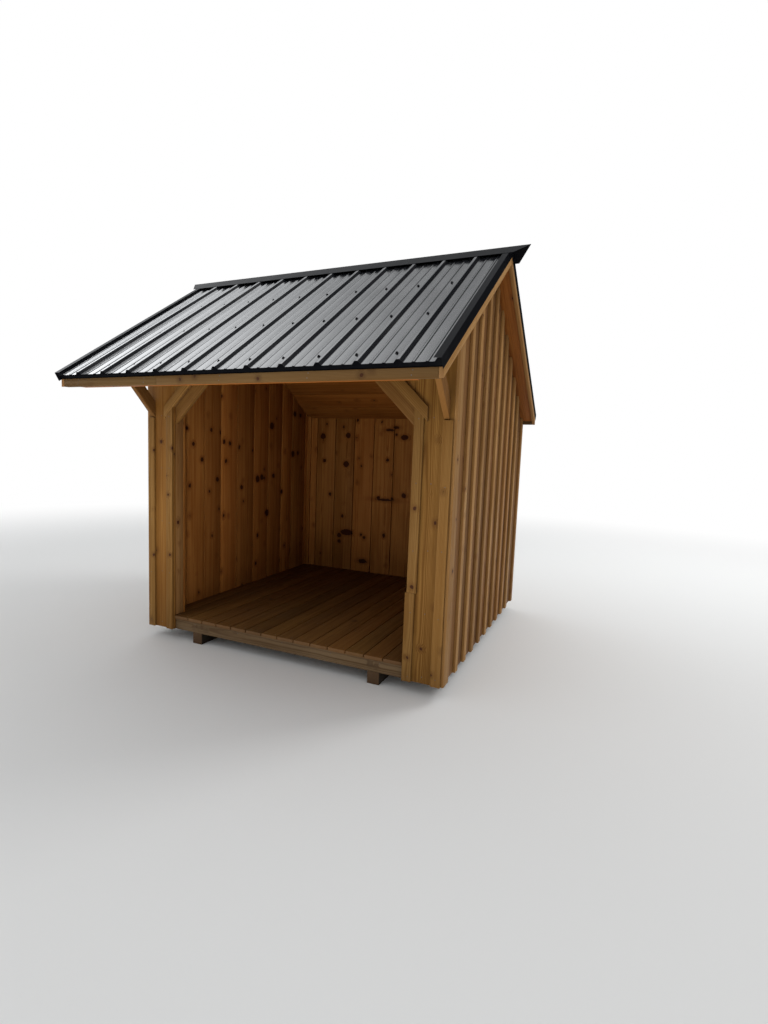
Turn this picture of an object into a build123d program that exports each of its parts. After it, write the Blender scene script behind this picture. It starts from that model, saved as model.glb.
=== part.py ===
"""Open-front log store: board-and-batten walls on a two-by-four frame, lined inside, ribbed metal roof.

Millimetres. The origin is on the ground under the middle of the roof's plan. +X is to the right for someone
facing the open front, +Y runs to the back and +Z is up. Lumber is stated in inches, the way it is sold.
"""

import os
from math import atan, cos, sin

from build123d import *

os.makedirs("parts", exist_ok=True)

INCH = 25.4

# Lumber
STICK = 1.5 * INCH        # thickness of a two-by-four
STUD = 3.5 * INCH         # width of a two-by-four
BOARD = 0.75 * INCH       # siding, lining, ceiling and roof boards
DECK_T = 1.0 * INCH       # floor planks
BATTEN_W = 2.5 * INCH
BATTEN_T = 0.75 * INCH
SKID = 3.5 * INCH         # square timber under the floor
BARGE_T = 1.0 * INCH
STRIP_W = 1.75 * INCH     # cover strip in the back corners
EASE = 0.3                # gap between pieces that are written together

# Plan
FRAME_W = 96.0 * INCH     # over the studs
FRAME_D = 96.0 * INCH
FRONT_OVERHANG = 29.1 * INCH  # siding face to the metal's edge
REAR_OVERHANG = 2.1 * INCH
EAVE_LIP = 1.6 * INCH     # metal past the fascia
GABLE_OVERHANG = 4.05 * INCH  # siding face to the barge board's inner face
SKID_IN = 18.0 * INCH     # centre of each skid from the side of the frame
JOIST_PITCH = 16.0 * INCH
STUD_PITCH = 24.0 * INCH
BACK_STUDS = 5            # evenly spaced, as are the rafters
RAFTERS = 5

# Roof
SLOPE = 0.63              # rise over run, both sides
APEX_BACK = 32.6 * INCH   # ridge line behind the front siding face
APEX_Z = 118.9 * INCH     # underside of the metal at the ridge
BARGE_DEPTH = 3.4 * INCH  # square to the slope
FASCIA_H = 3.0 * INCH     # ripped to meet the roof boards
METAL_T = 0.6
RIB_PITCH = 9.0 * INCH
RIB_H = 0.75 * INCH
RIB_BASE = 2.0 * INCH
RIB_TOP = 0.75 * INCH
MINOR_H = 0.16 * INCH
MINOR_BASE = 0.8 * INCH
MINOR_TOP = 0.35 * INCH
MINOR_OFF = 1.4 * INCH    # small ribs either side of the middle of a bay
EDGE_FLAT = 0.8 * INCH    # raised edge of the sheet under the rake trim
TRIM_T = 0.8              # folded trims and ridge cap
TRIM_DROP = 0.7 * INCH    # eave trim below the roof boards, down to its kick
TRIM_KICK = 0.25 * INCH
RAKE_DROP = 1.65 * INCH   # rake trim below the metal
RAKE_LAP = 1.6 * INCH
CAP_FLAP = 6.1 * INCH
CAP_BEAK = 4.9 * INCH     # ridge of the cap past the rake
CAP_CUT = 6.7 * INCH      # the slanting end cuts of the cap reach the rakes this far from the ridge
CAP_HEM = 0.5 * INCH      # width of the cap's doubled edge

# Front wall
PANEL_W = 10.0 * INCH     # boards beside the opening
HEADER_H = 9.35 * INCH    # header and plate over the opening
JAMB_BATTEN_IN = 0.15 * INCH
TRIM_LEG = 10.85 * INCH   # a diagonal trim's lower edge takes this much off the opening's corner
TRIM_LAP = 3.55 * INCH    # its plumb outer end past the inner edge of the boards
BRACE_LEG = 15.75 * INCH  # the same for the brace behind it, from the jamb
KNEE_DROP = 22.05 * INCH  # foot of a knee brace below the soffit
KNEE_IN = 1.0 * INCH      # outer face of the knee brace from the corner

# Battens
SIDE_CORNER_W = 4.5 * INCH         # board that closes each side wall at the front
SIDE_BATTEN_FIRST = 12.475 * INCH  # centre behind the front siding face
BATTEN_PITCH = 9.0 * INCH

# Derived planes
RIM_Z = SKID
DECK_Z = RIM_Z + STUD
FLOOR_Z = DECK_Z + DECK_T
HALF_W = FRAME_W / 2
SIDE_FACE = HALF_W + BOARD
SKID_X = HALF_W - SKID_IN
STRIP_X = SIDE_FACE - PANEL_W
ROOF_D = FRONT_OVERHANG + BOARD + FRAME_D + BOARD + REAR_OVERHANG
ROOF_FRONT = -ROOF_D / 2
ROOF_REAR = ROOF_D / 2
FRONT_FACE = ROOF_FRONT + FRONT_OVERHANG
FRAME_FRONT = FRONT_FACE + BOARD
FRAME_REAR = FRAME_FRONT + FRAME_D
REAR_FACE = FRAME_REAR + BOARD
WALL_IN = HALF_W - STUD
LINING_IN = WALL_IN - BOARD
FRONT_IN = FRAME_FRONT + STUD
FRONT_LINING_IN = FRONT_IN + BOARD
REAR_IN = FRAME_REAR - STUD
REAR_LINING_IN = REAR_IN - BOARD
JAMB_X = STRIP_X - EASE - STICK
APEX_Y = FRONT_FACE + APEX_BACK
FASCIA_Y = ROOF_FRONT + EAVE_LIP
REAR_FASCIA_Y = FRAME_REAR + STICK
BARGE_IN = SIDE_FACE + GABLE_OVERHANG
BARGE_OUT = BARGE_IN + BARGE_T
PITCH = atan(SLOPE)
RAFTER_TOP = BOARD
RAFTER_LOW = RAFTER_TOP + STUD
SOFFIT_LOW = RAFTER_LOW + BOARD
LOOKOUT_LOW = RAFTER_TOP + STICK        # flat lookouts carry the soffits beside the walls
RAKE_SOFFIT_LOW = LOOKOUT_LOW + BOARD
TALL = 2 * APEX_Z


def roof_z(y, depth=0.0):
    """Height at y of the plane that lies `depth` below the metal, square to the slope."""
    return APEX_Z - SLOPE * abs(y - APEX_Y) - depth / cos(PITCH)


def reach(z, depth, side):
    """Y where the plane at `depth` comes down to height z, in front (-1) or behind (+1) the ridge."""
    return APEX_Y + side * (APEX_Z - depth / cos(PITCH) - z) / SLOPE


def box(x0, x1, y0, y1, z0, z1):
    """Square-edged stick between two corners."""
    return Pos((x0 + x1) / 2, (y0 + y1) / 2, (z0 + z1) / 2) * Box(x1 - x0, y1 - y0, z1 - z0)


def profile_x(points, x0, x1):
    """Solid with a side-view outline of (y, z) points, from x0 to x1."""
    face = Plane.YZ.offset(x0) * make_face(Polyline(*points, close=True))
    return extrude(face, x1 - x0, dir=(1, 0, 0))


def profile_y(points, y0, y1):
    """Solid with a front-view outline of (x, z) points, from y0 to y1."""
    face = Plane.XZ.offset(-y0) * make_face(Polyline(*points, close=True))
    return extrude(face, y1 - y0, dir=(0, 1, 0))


def slope_slab(x0, x1, y0, y1, top, low):
    """Board or sheet that follows one slope, with plumb ends at y0 and y1."""
    outline = [(y0, roof_z(y0, low)), (y1, roof_z(y1, low)), (y1, roof_z(y1, top)), (y0, roof_z(y0, top))]
    return profile_x(outline, x0, x1)


def below_roof(depth):
    """Everything under the plane at `depth`, used to trim wall tops to the pitch."""
    outline = [(-ROOF_D, 0), (ROOF_D, 0), (ROOF_D, roof_z(ROOF_D, depth)),
               (APEX_Y, roof_z(APEX_Y, depth)), (-ROOF_D, roof_z(-ROOF_D, depth))]
    return profile_x(outline, -FRAME_W, FRAME_W)


def mirrored(shape):
    """The same piece on the other side of the middle plane."""
    return mirror(shape, about=Plane.YZ)


def both_sides(shape):
    """A piece and its mirror image, as separate solids."""
    return Compound([*shape.solids(), *mirrored(shape).solids()])


def group(shapes):
    """Separate solids that are written as one piece."""
    return Compound([solid for shape in shapes for solid in shape.solids()])


def write(name, shape):
    """Writes one named piece."""
    export_step(shape, f"parts/{name}.step")


FASCIA_Z = roof_z(FASCIA_Y, RAFTER_TOP) - FASCIA_H
REAR_FASCIA_Z = roof_z(REAR_FASCIA_Y, RAFTER_TOP) - FASCIA_H
TAIL_Z = FASCIA_Z + BOARD    # rafter tails are cut level here
OPENING_TOP = roof_z(FRAME_FRONT, RAFTER_LOW) - HEADER_H
TRIM_SUM = STRIP_X + OPENING_TOP - TRIM_LEG   # distance from the middle plus height, along its lower edge
TRIM_END_X = STRIP_X + TRIM_LAP
BRACE_SUM = JAMB_X + OPENING_TOP - BRACE_LEG
KNEE_FOOT_Z = roof_z(FRONT_FACE, SOFFIT_LOW) - KNEE_DROP
UNDER_RAFTERS = below_roof(RAFTER_LOW)
UNDER_CEILING = below_roof(SOFFIT_LOW)
UNDER_RAKE_SOFFIT = below_roof(RAKE_SOFFIT_LOW)
UNDER_SHEATHING = below_roof(RAFTER_TOP)

# Floor
write("skids", both_sides(box(SKID_X - SKID / 2, SKID_X + SKID / 2, FRAME_FRONT, FRAME_REAR, 0, SKID)))
write("front_rim", box(-HALF_W, HALF_W, FRAME_FRONT, FRAME_FRONT + STICK, RIM_Z, DECK_Z))
write("rear_rim", box(-HALF_W, HALF_W, FRAME_REAR - STICK, FRAME_REAR, RIM_Z, DECK_Z))
write("side_rims", both_sides(box(HALF_W - STICK, HALF_W, FRAME_FRONT + STICK, FRAME_REAR - STICK, RIM_Z, DECK_Z)))
joists = []
y = FRAME_FRONT + JOIST_PITCH
while y < FRAME_REAR - STUD:
    joists.append(box(-HALF_W + STICK, HALF_W - STICK, y - STICK / 2, y + STICK / 2, RIM_Z, DECK_Z))
    y += JOIST_PITCH
write("floor_joists", group(joists))
deck = box(-HALF_W, HALF_W, FRAME_FRONT, FRAME_REAR, DECK_Z, FLOOR_Z)
nosing = box(-STRIP_X + EASE, STRIP_X - EASE, FRONT_FACE, FRAME_FRONT, DECK_Z, FLOOR_Z)
write("floor_deck", deck + nosing)


def gable_frame():
    """Two-by-four frame of the right wall, with its studs cut to the pitch."""
    sticks = box(WALL_IN, HALF_W, FRAME_FRONT, FRAME_REAR, FLOOR_Z, FLOOR_Z + STICK)
    y = FRAME_FRONT + STICK / 2
    while y < FRAME_REAR:
        sticks += box(WALL_IN, HALF_W, y - STICK / 2, y + STICK / 2, FLOOR_Z, TALL)
        y += STUD_PITCH
    sticks += box(WALL_IN, HALF_W, FRAME_REAR - STICK, FRAME_REAR, FLOOR_Z, TALL)
    sticks &= UNDER_RAFTERS
    for y0, y1 in ((FRAME_FRONT, APEX_Y), (APEX_Y, FRAME_REAR)):
        sticks += slope_slab(WALL_IN, HALF_W, y0, y1, RAFTER_LOW, RAFTER_LOW + STICK)
    return sticks


right_frame = gable_frame()
write("right_wall_frame", right_frame)
write("left_wall_frame", mirrored(right_frame))

back = box(-WALL_IN, WALL_IN, REAR_IN, FRAME_REAR, FLOOR_Z, FLOOR_Z + STICK)
x = -WALL_IN + STICK / 2
while x < WALL_IN:
    back += box(x - STICK / 2, x + STICK / 2, REAR_IN, FRAME_REAR, FLOOR_Z, TALL)
    x += (2 * WALL_IN - STICK) / (BACK_STUDS - 1)
back &= UNDER_RAFTERS
plate_low = roof_z(FRAME_REAR, RAFTER_LOW) - STICK
back += box(-WALL_IN, WALL_IN, REAR_IN, FRAME_REAR, plate_low, TALL) & UNDER_RAFTERS
write("back_wall_frame", back)

front_plate = roof_z(FRAME_FRONT, RAFTER_LOW) - STICK
jamb = box(JAMB_X, JAMB_X + STICK, FRAME_FRONT, FRONT_IN, FLOOR_Z, OPENING_TOP - EASE)
corner = box(WALL_IN - STICK, WALL_IN, FRAME_FRONT, FRONT_IN, FLOOR_Z, OPENING_TOP - EASE)
sill = box(JAMB_X + STICK + EASE, WALL_IN - STICK - EASE, FRAME_FRONT, FRONT_IN, FLOOR_Z, FLOOR_Z + STICK)
header = box(-WALL_IN, WALL_IN, FRAME_FRONT, FRONT_IN, OPENING_TOP, TALL) & UNDER_RAFTERS
write("front_wall_frame", group([both_sides(jamb), both_sides(corner), both_sides(sill), header]))

# Outer boards
side_boards = box(HALF_W, SIDE_FACE, FRAME_FRONT, FRAME_REAR, RIM_Z, TALL) & UNDER_SHEATHING
write("right_siding", side_boards)
write("left_siding", mirrored(side_boards))
write("back_siding", box(-SIDE_FACE, SIDE_FACE, FRAME_REAR, REAR_FACE, RIM_Z, REAR_FASCIA_Z))
strip = box(STRIP_X, SIDE_FACE, FRONT_FACE, FRAME_FRONT, RIM_Z, TALL) & UNDER_RAFTERS
write("front_siding_right", strip)
write("front_siding_left", mirrored(strip))
filler_x = TRIM_SUM - OPENING_TOP  # where the diagonal edge of a corner filler meets the opening's top
filler = profile_y([(STRIP_X - EASE, TRIM_SUM - STRIP_X + EASE), (STRIP_X - EASE, TALL), (filler_x, TALL),
                    (filler_x, OPENING_TOP)], FRONT_FACE, FRAME_FRONT)
over = box(-filler_x + EASE, filler_x - EASE, FRONT_FACE, FRAME_FRONT, OPENING_TOP, TALL)
write("front_siding_header", group([both_sides(filler & UNDER_RAFTERS), over & UNDER_RAFTERS]))


def side_batten(y0, y1):
    """Upright batten on the right wall, its top cut to the soffit and notched where the rear fascia passes."""
    blank = box(SIDE_FACE, SIDE_FACE + BATTEN_T, y0, y1, RIM_Z, TALL) & UNDER_RAKE_SOFFIT
    return blank - box(SIDE_FACE, SIDE_FACE + BATTEN_T, FRAME_REAR, REAR_FACE, REAR_FASCIA_Z, TALL)


side_count = int((REAR_FACE - BATTEN_W * 2 - FRONT_FACE - SIDE_BATTEN_FIRST) / BATTEN_PITCH) + 1
side_starts = [FRONT_FACE + SIDE_BATTEN_FIRST - BATTEN_W / 2 + k * BATTEN_PITCH for k in range(side_count)]
side_starts += [REAR_FACE - BATTEN_W]
right_battens = group([side_batten(FRONT_FACE, FRONT_FACE + SIDE_CORNER_W),
                       *(side_batten(y, y + BATTEN_W) for y in side_starts)])
write("right_battens", right_battens)
write("left_battens", mirrored(right_battens))

back_count = int((SIDE_FACE - BATTEN_W * 2) / BATTEN_PITCH)
back_xs = [k * BATTEN_PITCH for k in range(-back_count, back_count + 1)]
back_xs = [-SIDE_FACE + BATTEN_W / 2, *back_xs, SIDE_FACE - BATTEN_W / 2]
write("back_battens", group([
    box(x - BATTEN_W / 2, x + BATTEN_W / 2, REAR_FACE, REAR_FACE + BATTEN_T, RIM_Z, REAR_FASCIA_Z)
    for x in back_xs]))

FRONT_BATTEN = FRONT_FACE - BATTEN_T
jamb_x = STRIP_X + JAMB_BATTEN_IN
jamb_batten = profile_y([(jamb_x, RIM_Z), (jamb_x + BATTEN_W, RIM_Z),
                         (jamb_x + BATTEN_W, TRIM_SUM - jamb_x - BATTEN_W), (jamb_x, TRIM_SUM - jamb_x)],
                        FRONT_BATTEN, FRONT_FACE)
corner_batten = box(SIDE_FACE - BATTEN_W, SIDE_FACE, FRONT_BATTEN, FRONT_FACE, RIM_Z, KNEE_FOOT_Z - EASE)
head_count = int((filler_x - BATTEN_W) / BATTEN_PITCH)
head_battens = [box(k * BATTEN_PITCH - BATTEN_W / 2, k * BATTEN_PITCH + BATTEN_W / 2, FRONT_BATTEN, FRONT_FACE,
                    OPENING_TOP, TALL) & UNDER_CEILING for k in range(-head_count, head_count + 1)]
write("front_battens", group([both_sides(jamb_batten), both_sides(corner_batten), *head_battens]))

# Bracing of the opening
rise = BATTEN_W * 2 ** 0.5
trim = profile_y([(TRIM_END_X, TRIM_SUM - TRIM_END_X + EASE), (TRIM_END_X, TRIM_SUM - TRIM_END_X + rise),
                  (TRIM_SUM + rise - OPENING_TOP, OPENING_TOP), (TRIM_SUM + EASE - OPENING_TOP, OPENING_TOP)],
                 FRONT_BATTEN, FRONT_FACE)
write("diagonal_trims", both_sides(trim))
rise = STUD * 2 ** 0.5
brace = profile_y([(JAMB_X, BRACE_SUM - JAMB_X), (JAMB_X, BRACE_SUM - JAMB_X + rise),
                   (BRACE_SUM + rise - OPENING_TOP, OPENING_TOP), (BRACE_SUM - OPENING_TOP, OPENING_TOP)],
                  FRAME_FRONT, FRAME_FRONT + STICK)
write("frame_braces", both_sides(brace))


def knee_end(z_at_face):
    """Point where a 45-degree line that leaves the front boards at this height meets the soffit."""
    run = (roof_z(FRONT_FACE, SOFFIT_LOW) - z_at_face) / (1 + SLOPE)
    return FRONT_FACE - run, z_at_face + run


knee_x = SIDE_FACE - KNEE_IN
knee = profile_x([(FRONT_FACE, KNEE_FOOT_Z), (FRONT_FACE, KNEE_FOOT_Z + rise), knee_end(KNEE_FOOT_Z + rise),
                  knee_end(KNEE_FOOT_Z)], knee_x - STICK, knee_x)
write("knee_braces", both_sides(knee))

# Lining
lining = box(LINING_IN, WALL_IN, FRONT_IN, REAR_IN, FLOOR_Z, TALL) & UNDER_CEILING
write("right_lining", lining)
write("left_lining", mirrored(lining))
write("back_lining", box(-LINING_IN, LINING_IN, REAR_LINING_IN, REAR_IN, FLOOR_Z, TALL) & UNDER_CEILING)
front_strip = box(JAMB_X, LINING_IN, FRONT_IN, FRONT_LINING_IN, FLOOR_Z, OPENING_TOP - EASE)
front_over = box(-LINING_IN, LINING_IN, FRONT_IN, FRONT_LINING_IN, OPENING_TOP, TALL) & UNDER_CEILING
write("front_lining", group([both_sides(front_strip), front_over]))
cover = box(LINING_IN - STRIP_W, LINING_IN, REAR_LINING_IN - BOARD, REAR_LINING_IN, FLOOR_Z, TALL)
write("corner_strips", both_sides(cover & UNDER_CEILING))

# Roof frame
over_tails = box(-HALF_W, HALF_W, ROOF_FRONT, APEX_Y, TAIL_Z, TALL)
ridge = box(-HALF_W, HALF_W, APEX_Y - STICK / 2, APEX_Y + STICK / 2, roof_z(APEX_Y, RAFTER_LOW), TALL)
write("ridge_board", ridge & UNDER_SHEATHING)
rafters = []
for k in range(RAFTERS):
    x = (k / (RAFTERS - 1) - 0.5) * (FRAME_W - STICK)
    rafters.append(slope_slab(x - STICK / 2, x + STICK / 2, FASCIA_Y + STICK, APEX_Y - STICK / 2,
                              RAFTER_TOP, RAFTER_LOW) & over_tails)
    rafters.append(slope_slab(x - STICK / 2, x + STICK / 2, APEX_Y + STICK / 2, FRAME_REAR,
                              RAFTER_TOP, RAFTER_LOW))
write("rafters", group(rafters))
write("front_roof_boards", slope_slab(-BARGE_IN, BARGE_IN, FASCIA_Y, APEX_Y, 0, RAFTER_TOP))
write("rear_roof_boards", slope_slab(-BARGE_IN, BARGE_IN, APEX_Y, REAR_FASCIA_Y, 0, RAFTER_TOP))

# Ceiling and soffits
write("front_ceiling", slope_slab(-WALL_IN, WALL_IN, FRONT_IN, APEX_Y, RAFTER_LOW, SOFFIT_LOW))
write("rear_ceiling", slope_slab(-WALL_IN, WALL_IN, APEX_Y, REAR_IN, RAFTER_LOW, SOFFIT_LOW))
eave_back = FASCIA_Y + STICK
eave_soffit = profile_x([(eave_back, FASCIA_Z), (reach(FASCIA_Z, SOFFIT_LOW, -1), FASCIA_Z),
                         (FRONT_FACE, roof_z(FRONT_FACE, SOFFIT_LOW)), (FRONT_FACE, roof_z(FRONT_FACE, RAFTER_LOW)),
                         (reach(TAIL_Z, RAFTER_LOW, -1), TAIL_Z), (eave_back, TAIL_Z)], -HALF_W, HALF_W)
rake_front = slope_slab(HALF_W, BARGE_IN, eave_back, FRAME_FRONT, LOOKOUT_LOW, RAKE_SOFFIT_LOW)
rake_front += slope_slab(SIDE_FACE, BARGE_IN, FRAME_FRONT, APEX_Y - EASE, LOOKOUT_LOW, RAKE_SOFFIT_LOW)
rake_rear = slope_slab(SIDE_FACE, BARGE_IN, APEX_Y, FRAME_REAR, LOOKOUT_LOW, RAKE_SOFFIT_LOW)
write("soffits", group([eave_soffit, both_sides(rake_front), both_sides(rake_rear)]))

# Fascias and barge boards
fascia = profile_x([(FASCIA_Y, FASCIA_Z), (FASCIA_Y + STICK, FASCIA_Z),
                    (FASCIA_Y + STICK, roof_z(FASCIA_Y + STICK, RAFTER_TOP)),
                    (FASCIA_Y, roof_z(FASCIA_Y, RAFTER_TOP))], -BARGE_IN, BARGE_IN)
write("front_fascia", fascia)
rear_fascia = profile_x([(FRAME_REAR, REAR_FASCIA_Z), (REAR_FASCIA_Y, REAR_FASCIA_Z),
                         (REAR_FASCIA_Y, roof_z(REAR_FASCIA_Y, RAFTER_TOP)), (FRAME_REAR, roof_z(FRAME_REAR, RAFTER_TOP))],
                        -BARGE_IN, BARGE_IN)
write("rear_fascia", rear_fascia)


def barge(end_y, low_z, ridge_y):
    """Barge board of one slope, plumb at its ends and cut level with the fascia's lower edge."""
    board = slope_slab(BARGE_IN, BARGE_OUT, end_y, ridge_y, 0, BARGE_DEPTH)
    return board & box(BARGE_IN, BARGE_OUT, ROOF_FRONT, ROOF_REAR, low_z, TALL)


right_barges = group([barge(FASCIA_Y, FASCIA_Z, APEX_Y - EASE / 2),
                      barge(REAR_FASCIA_Y, REAR_FASCIA_Z, APEX_Y + EASE / 2)])
write("right_barge_boards", right_barges)
write("left_barge_boards", mirrored(right_barges))


def sheet_line(lift):
    """(x, height) corners of the sheet's surface across the roof, moved up by `lift`."""
    line = [(-BARGE_OUT, RIB_H + lift), (-BARGE_OUT + EDGE_FLAT, RIB_H + lift),
            (-BARGE_OUT + EDGE_FLAT + (RIB_BASE - RIB_TOP) / 2, lift)]
    bays = round(2 * BARGE_OUT / RIB_PITCH)
    for k in range(bays):
        start = (k - bays / 2) * RIB_PITCH
        middle = start + RIB_PITCH / 2
        if k:
            line += [(start - RIB_BASE / 2, lift), (start - RIB_TOP / 2, RIB_H + lift),
                     (start + RIB_TOP / 2, RIB_H + lift), (start + RIB_BASE / 2, lift)]
        for m in (middle - MINOR_OFF, middle + MINOR_OFF):
            line += [(m - MINOR_BASE / 2, lift), (m - MINOR_TOP / 2, MINOR_H + lift),
                     (m + MINOR_TOP / 2, MINOR_H + lift), (m + MINOR_BASE / 2, lift)]
    line += [(BARGE_OUT - EDGE_FLAT - (RIB_BASE - RIB_TOP) / 2, lift), (BARGE_OUT - EDGE_FLAT, RIB_H + lift),
             (BARGE_OUT, RIB_H + lift)]
    return line


def metal_sheet(side):
    """Ribbed sheet of one slope, plumb-cut at the ridge."""
    eave = ROOF_FRONT if side < 0 else ROOF_REAR
    outward = Vector(0, side * sin(PITCH), cos(PITCH))
    up_slope = Vector(0, -side * cos(PITCH), sin(PITCH))
    base = Vector(0, eave, roof_z(eave))
    outline = [*sheet_line(0), *reversed(sheet_line(METAL_T))]
    points = [base + Vector(x, 0, 0) + outward * h for x, h in outline]
    face = make_face(Polyline(*points, close=True))
    length = abs(APEX_Y - eave) / cos(PITCH)
    sheet = extrude(face, length + STUD, dir=tuple(up_slope))
    ridge_y = APEX_Y + side * EASE / 2
    return sheet & box(-FRAME_W, FRAME_W, min(ridge_y, 2 * eave), max(ridge_y, 2 * eave), 0, TALL)


write("front_roof_metal", metal_sheet(-1))
write("rear_roof_metal", metal_sheet(1))

# Trims
RIB_LEVEL = -(RIB_H + METAL_T)      # depth of the rib tops
CAP_LOW = RIB_LEVEL - TRIM_T        # the cap rests on the rake trims


def cap_flap(side):
    """One sloping half of the ridge cap with its hemmed lower edge and cut-back ends."""
    y_edge = APEX_Y + side * CAP_FLAP * cos(PITCH)
    y_hem = y_edge - side * CAP_HEM
    outline = [(APEX_Y, roof_z(APEX_Y, CAP_LOW)), (y_edge, roof_z(y_edge, CAP_LOW)),
               (y_edge, roof_z(y_edge, CAP_LOW - 2 * TRIM_T)), (y_hem, roof_z(y_hem, CAP_LOW - 2 * TRIM_T)),
               (y_hem, roof_z(y_hem, CAP_LOW - TRIM_T)), (APEX_Y, roof_z(APEX_Y, CAP_LOW - TRIM_T))]
    blank = profile_x(outline, -BARGE_OUT - CAP_BEAK, BARGE_OUT + CAP_BEAK)
    y_cut = APEX_Y + side * CAP_CUT
    plan = make_face(Polyline((-BARGE_OUT - CAP_BEAK, APEX_Y), (BARGE_OUT + CAP_BEAK, APEX_Y),
                              (BARGE_OUT, y_cut), (-BARGE_OUT, y_cut), close=True))
    return blank & extrude(plan, 2 * TALL, dir=(0, 0, 1))


write("ridge_cap", cap_flap(-1) + cap_flap(1))


def eave_trim(face_y, side):
    """Folded strip on a fascia, kicked out at its lower edge."""
    low = roof_z(face_y, RAFTER_TOP) - TRIM_DROP
    out = face_y + side * TRIM_T
    kick_y = side * TRIM_KICK
    outline = [(face_y, roof_z(face_y)), (face_y, low), (face_y + kick_y, low - TRIM_KICK),
               (out + kick_y, low - TRIM_KICK), (out, low), (out, roof_z(out))]
    return profile_x(outline, -BARGE_OUT, BARGE_OUT)


write("eave_trims", group([eave_trim(FASCIA_Y, -1), eave_trim(REAR_FASCIA_Y, 1)]))


def rake_leaf(side, low, x0):
    """Flat leaf of a rake trim down to `low`, cut square at the eave like the sheet and plumb at the ridge."""
    eave = ROOF_FRONT if side < 0 else ROOF_REAR
    ridge_y = APEX_Y + side * EASE / 2
    top = RIB_LEVEL - TRIM_T
    top_y = eave - side * top * sin(PITCH)
    low_y = eave - side * low * sin(PITCH)
    outline = [(top_y, roof_z(top_y, top)), (low_y, roof_z(low_y, low)),
               (ridge_y, roof_z(ridge_y, low)), (ridge_y, roof_z(ridge_y, top))]
    return profile_x(outline, x0, BARGE_OUT + TRIM_T)


def rake_trim(side):
    """Folded angle over the barge board and the sheet's raised edge, along one slope."""
    return rake_leaf(side, RAKE_DROP, BARGE_OUT) + rake_leaf(side, RIB_LEVEL, BARGE_OUT - RAKE_LAP)


write("rake_trims", group([both_sides(rake_trim(-1)), both_sides(rake_trim(1))]))
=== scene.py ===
"""Open-front log store: sawn boards, black roof sheets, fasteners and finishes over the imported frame.

Lengths are stated in inches, the way the lumber is sold, and turned to metres where a mesh is made.
"""

import logging
import math
import random
from dataclasses import dataclass
from enum import Enum
from typing import Iterable, Sequence

import bpy
import numpy as np
from mathutils import Matrix, Vector


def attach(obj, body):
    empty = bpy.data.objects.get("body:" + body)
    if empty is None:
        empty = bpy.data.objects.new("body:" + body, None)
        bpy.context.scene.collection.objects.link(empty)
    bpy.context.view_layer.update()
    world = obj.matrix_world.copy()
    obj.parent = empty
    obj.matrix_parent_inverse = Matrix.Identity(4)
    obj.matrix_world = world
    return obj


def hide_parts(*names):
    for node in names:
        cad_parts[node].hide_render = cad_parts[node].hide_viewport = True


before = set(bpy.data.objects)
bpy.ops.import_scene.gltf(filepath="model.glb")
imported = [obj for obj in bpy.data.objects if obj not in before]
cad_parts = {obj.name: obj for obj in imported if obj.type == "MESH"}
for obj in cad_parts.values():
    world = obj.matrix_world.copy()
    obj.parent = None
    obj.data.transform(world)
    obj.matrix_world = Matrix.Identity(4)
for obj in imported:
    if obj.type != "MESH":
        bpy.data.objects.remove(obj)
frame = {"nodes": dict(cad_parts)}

log = logging.getLogger("log_store")

INCH = 0.0254
Point = tuple[float, float, float]
Color = tuple[float, float, float]
Span = tuple[float, float]

X = Vector((1.0, 0.0, 0.0))
Y = Vector((0.0, 1.0, 0.0))
Z = Vector((0.0, 0.0, 1.0))


class Side(Enum):
    """The two halves of the shed, or of its roof, by the sign of X or Y."""

    LEFT = -1
    RIGHT = 1
    FRONT = -2
    REAR = 2

    @property
    def sign(self) -> int:
        """-1 for left or front, 1 for right or rear."""
        return -1 if self.value < 0 else 1

    @property
    def slant(self) -> Vector:
        """Unit vector that points up and out to this side at 45 degrees, in the plane of the front."""
        return Vector((self.sign, 0.0, 1.0)).normalized()

    def reach(self, near: float, far: float) -> Span:
        """X reach of a part on this side from its two distances from the middle."""
        return (near, far) if self.sign > 0 else (-far, -near)


BOTH_SIDES = (Side.LEFT, Side.RIGHT)


class Grain(Enum):
    """Direction of a level or upright board's grain."""

    ACROSS = "x"
    DEEP = "y"
    UP = "z"


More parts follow.
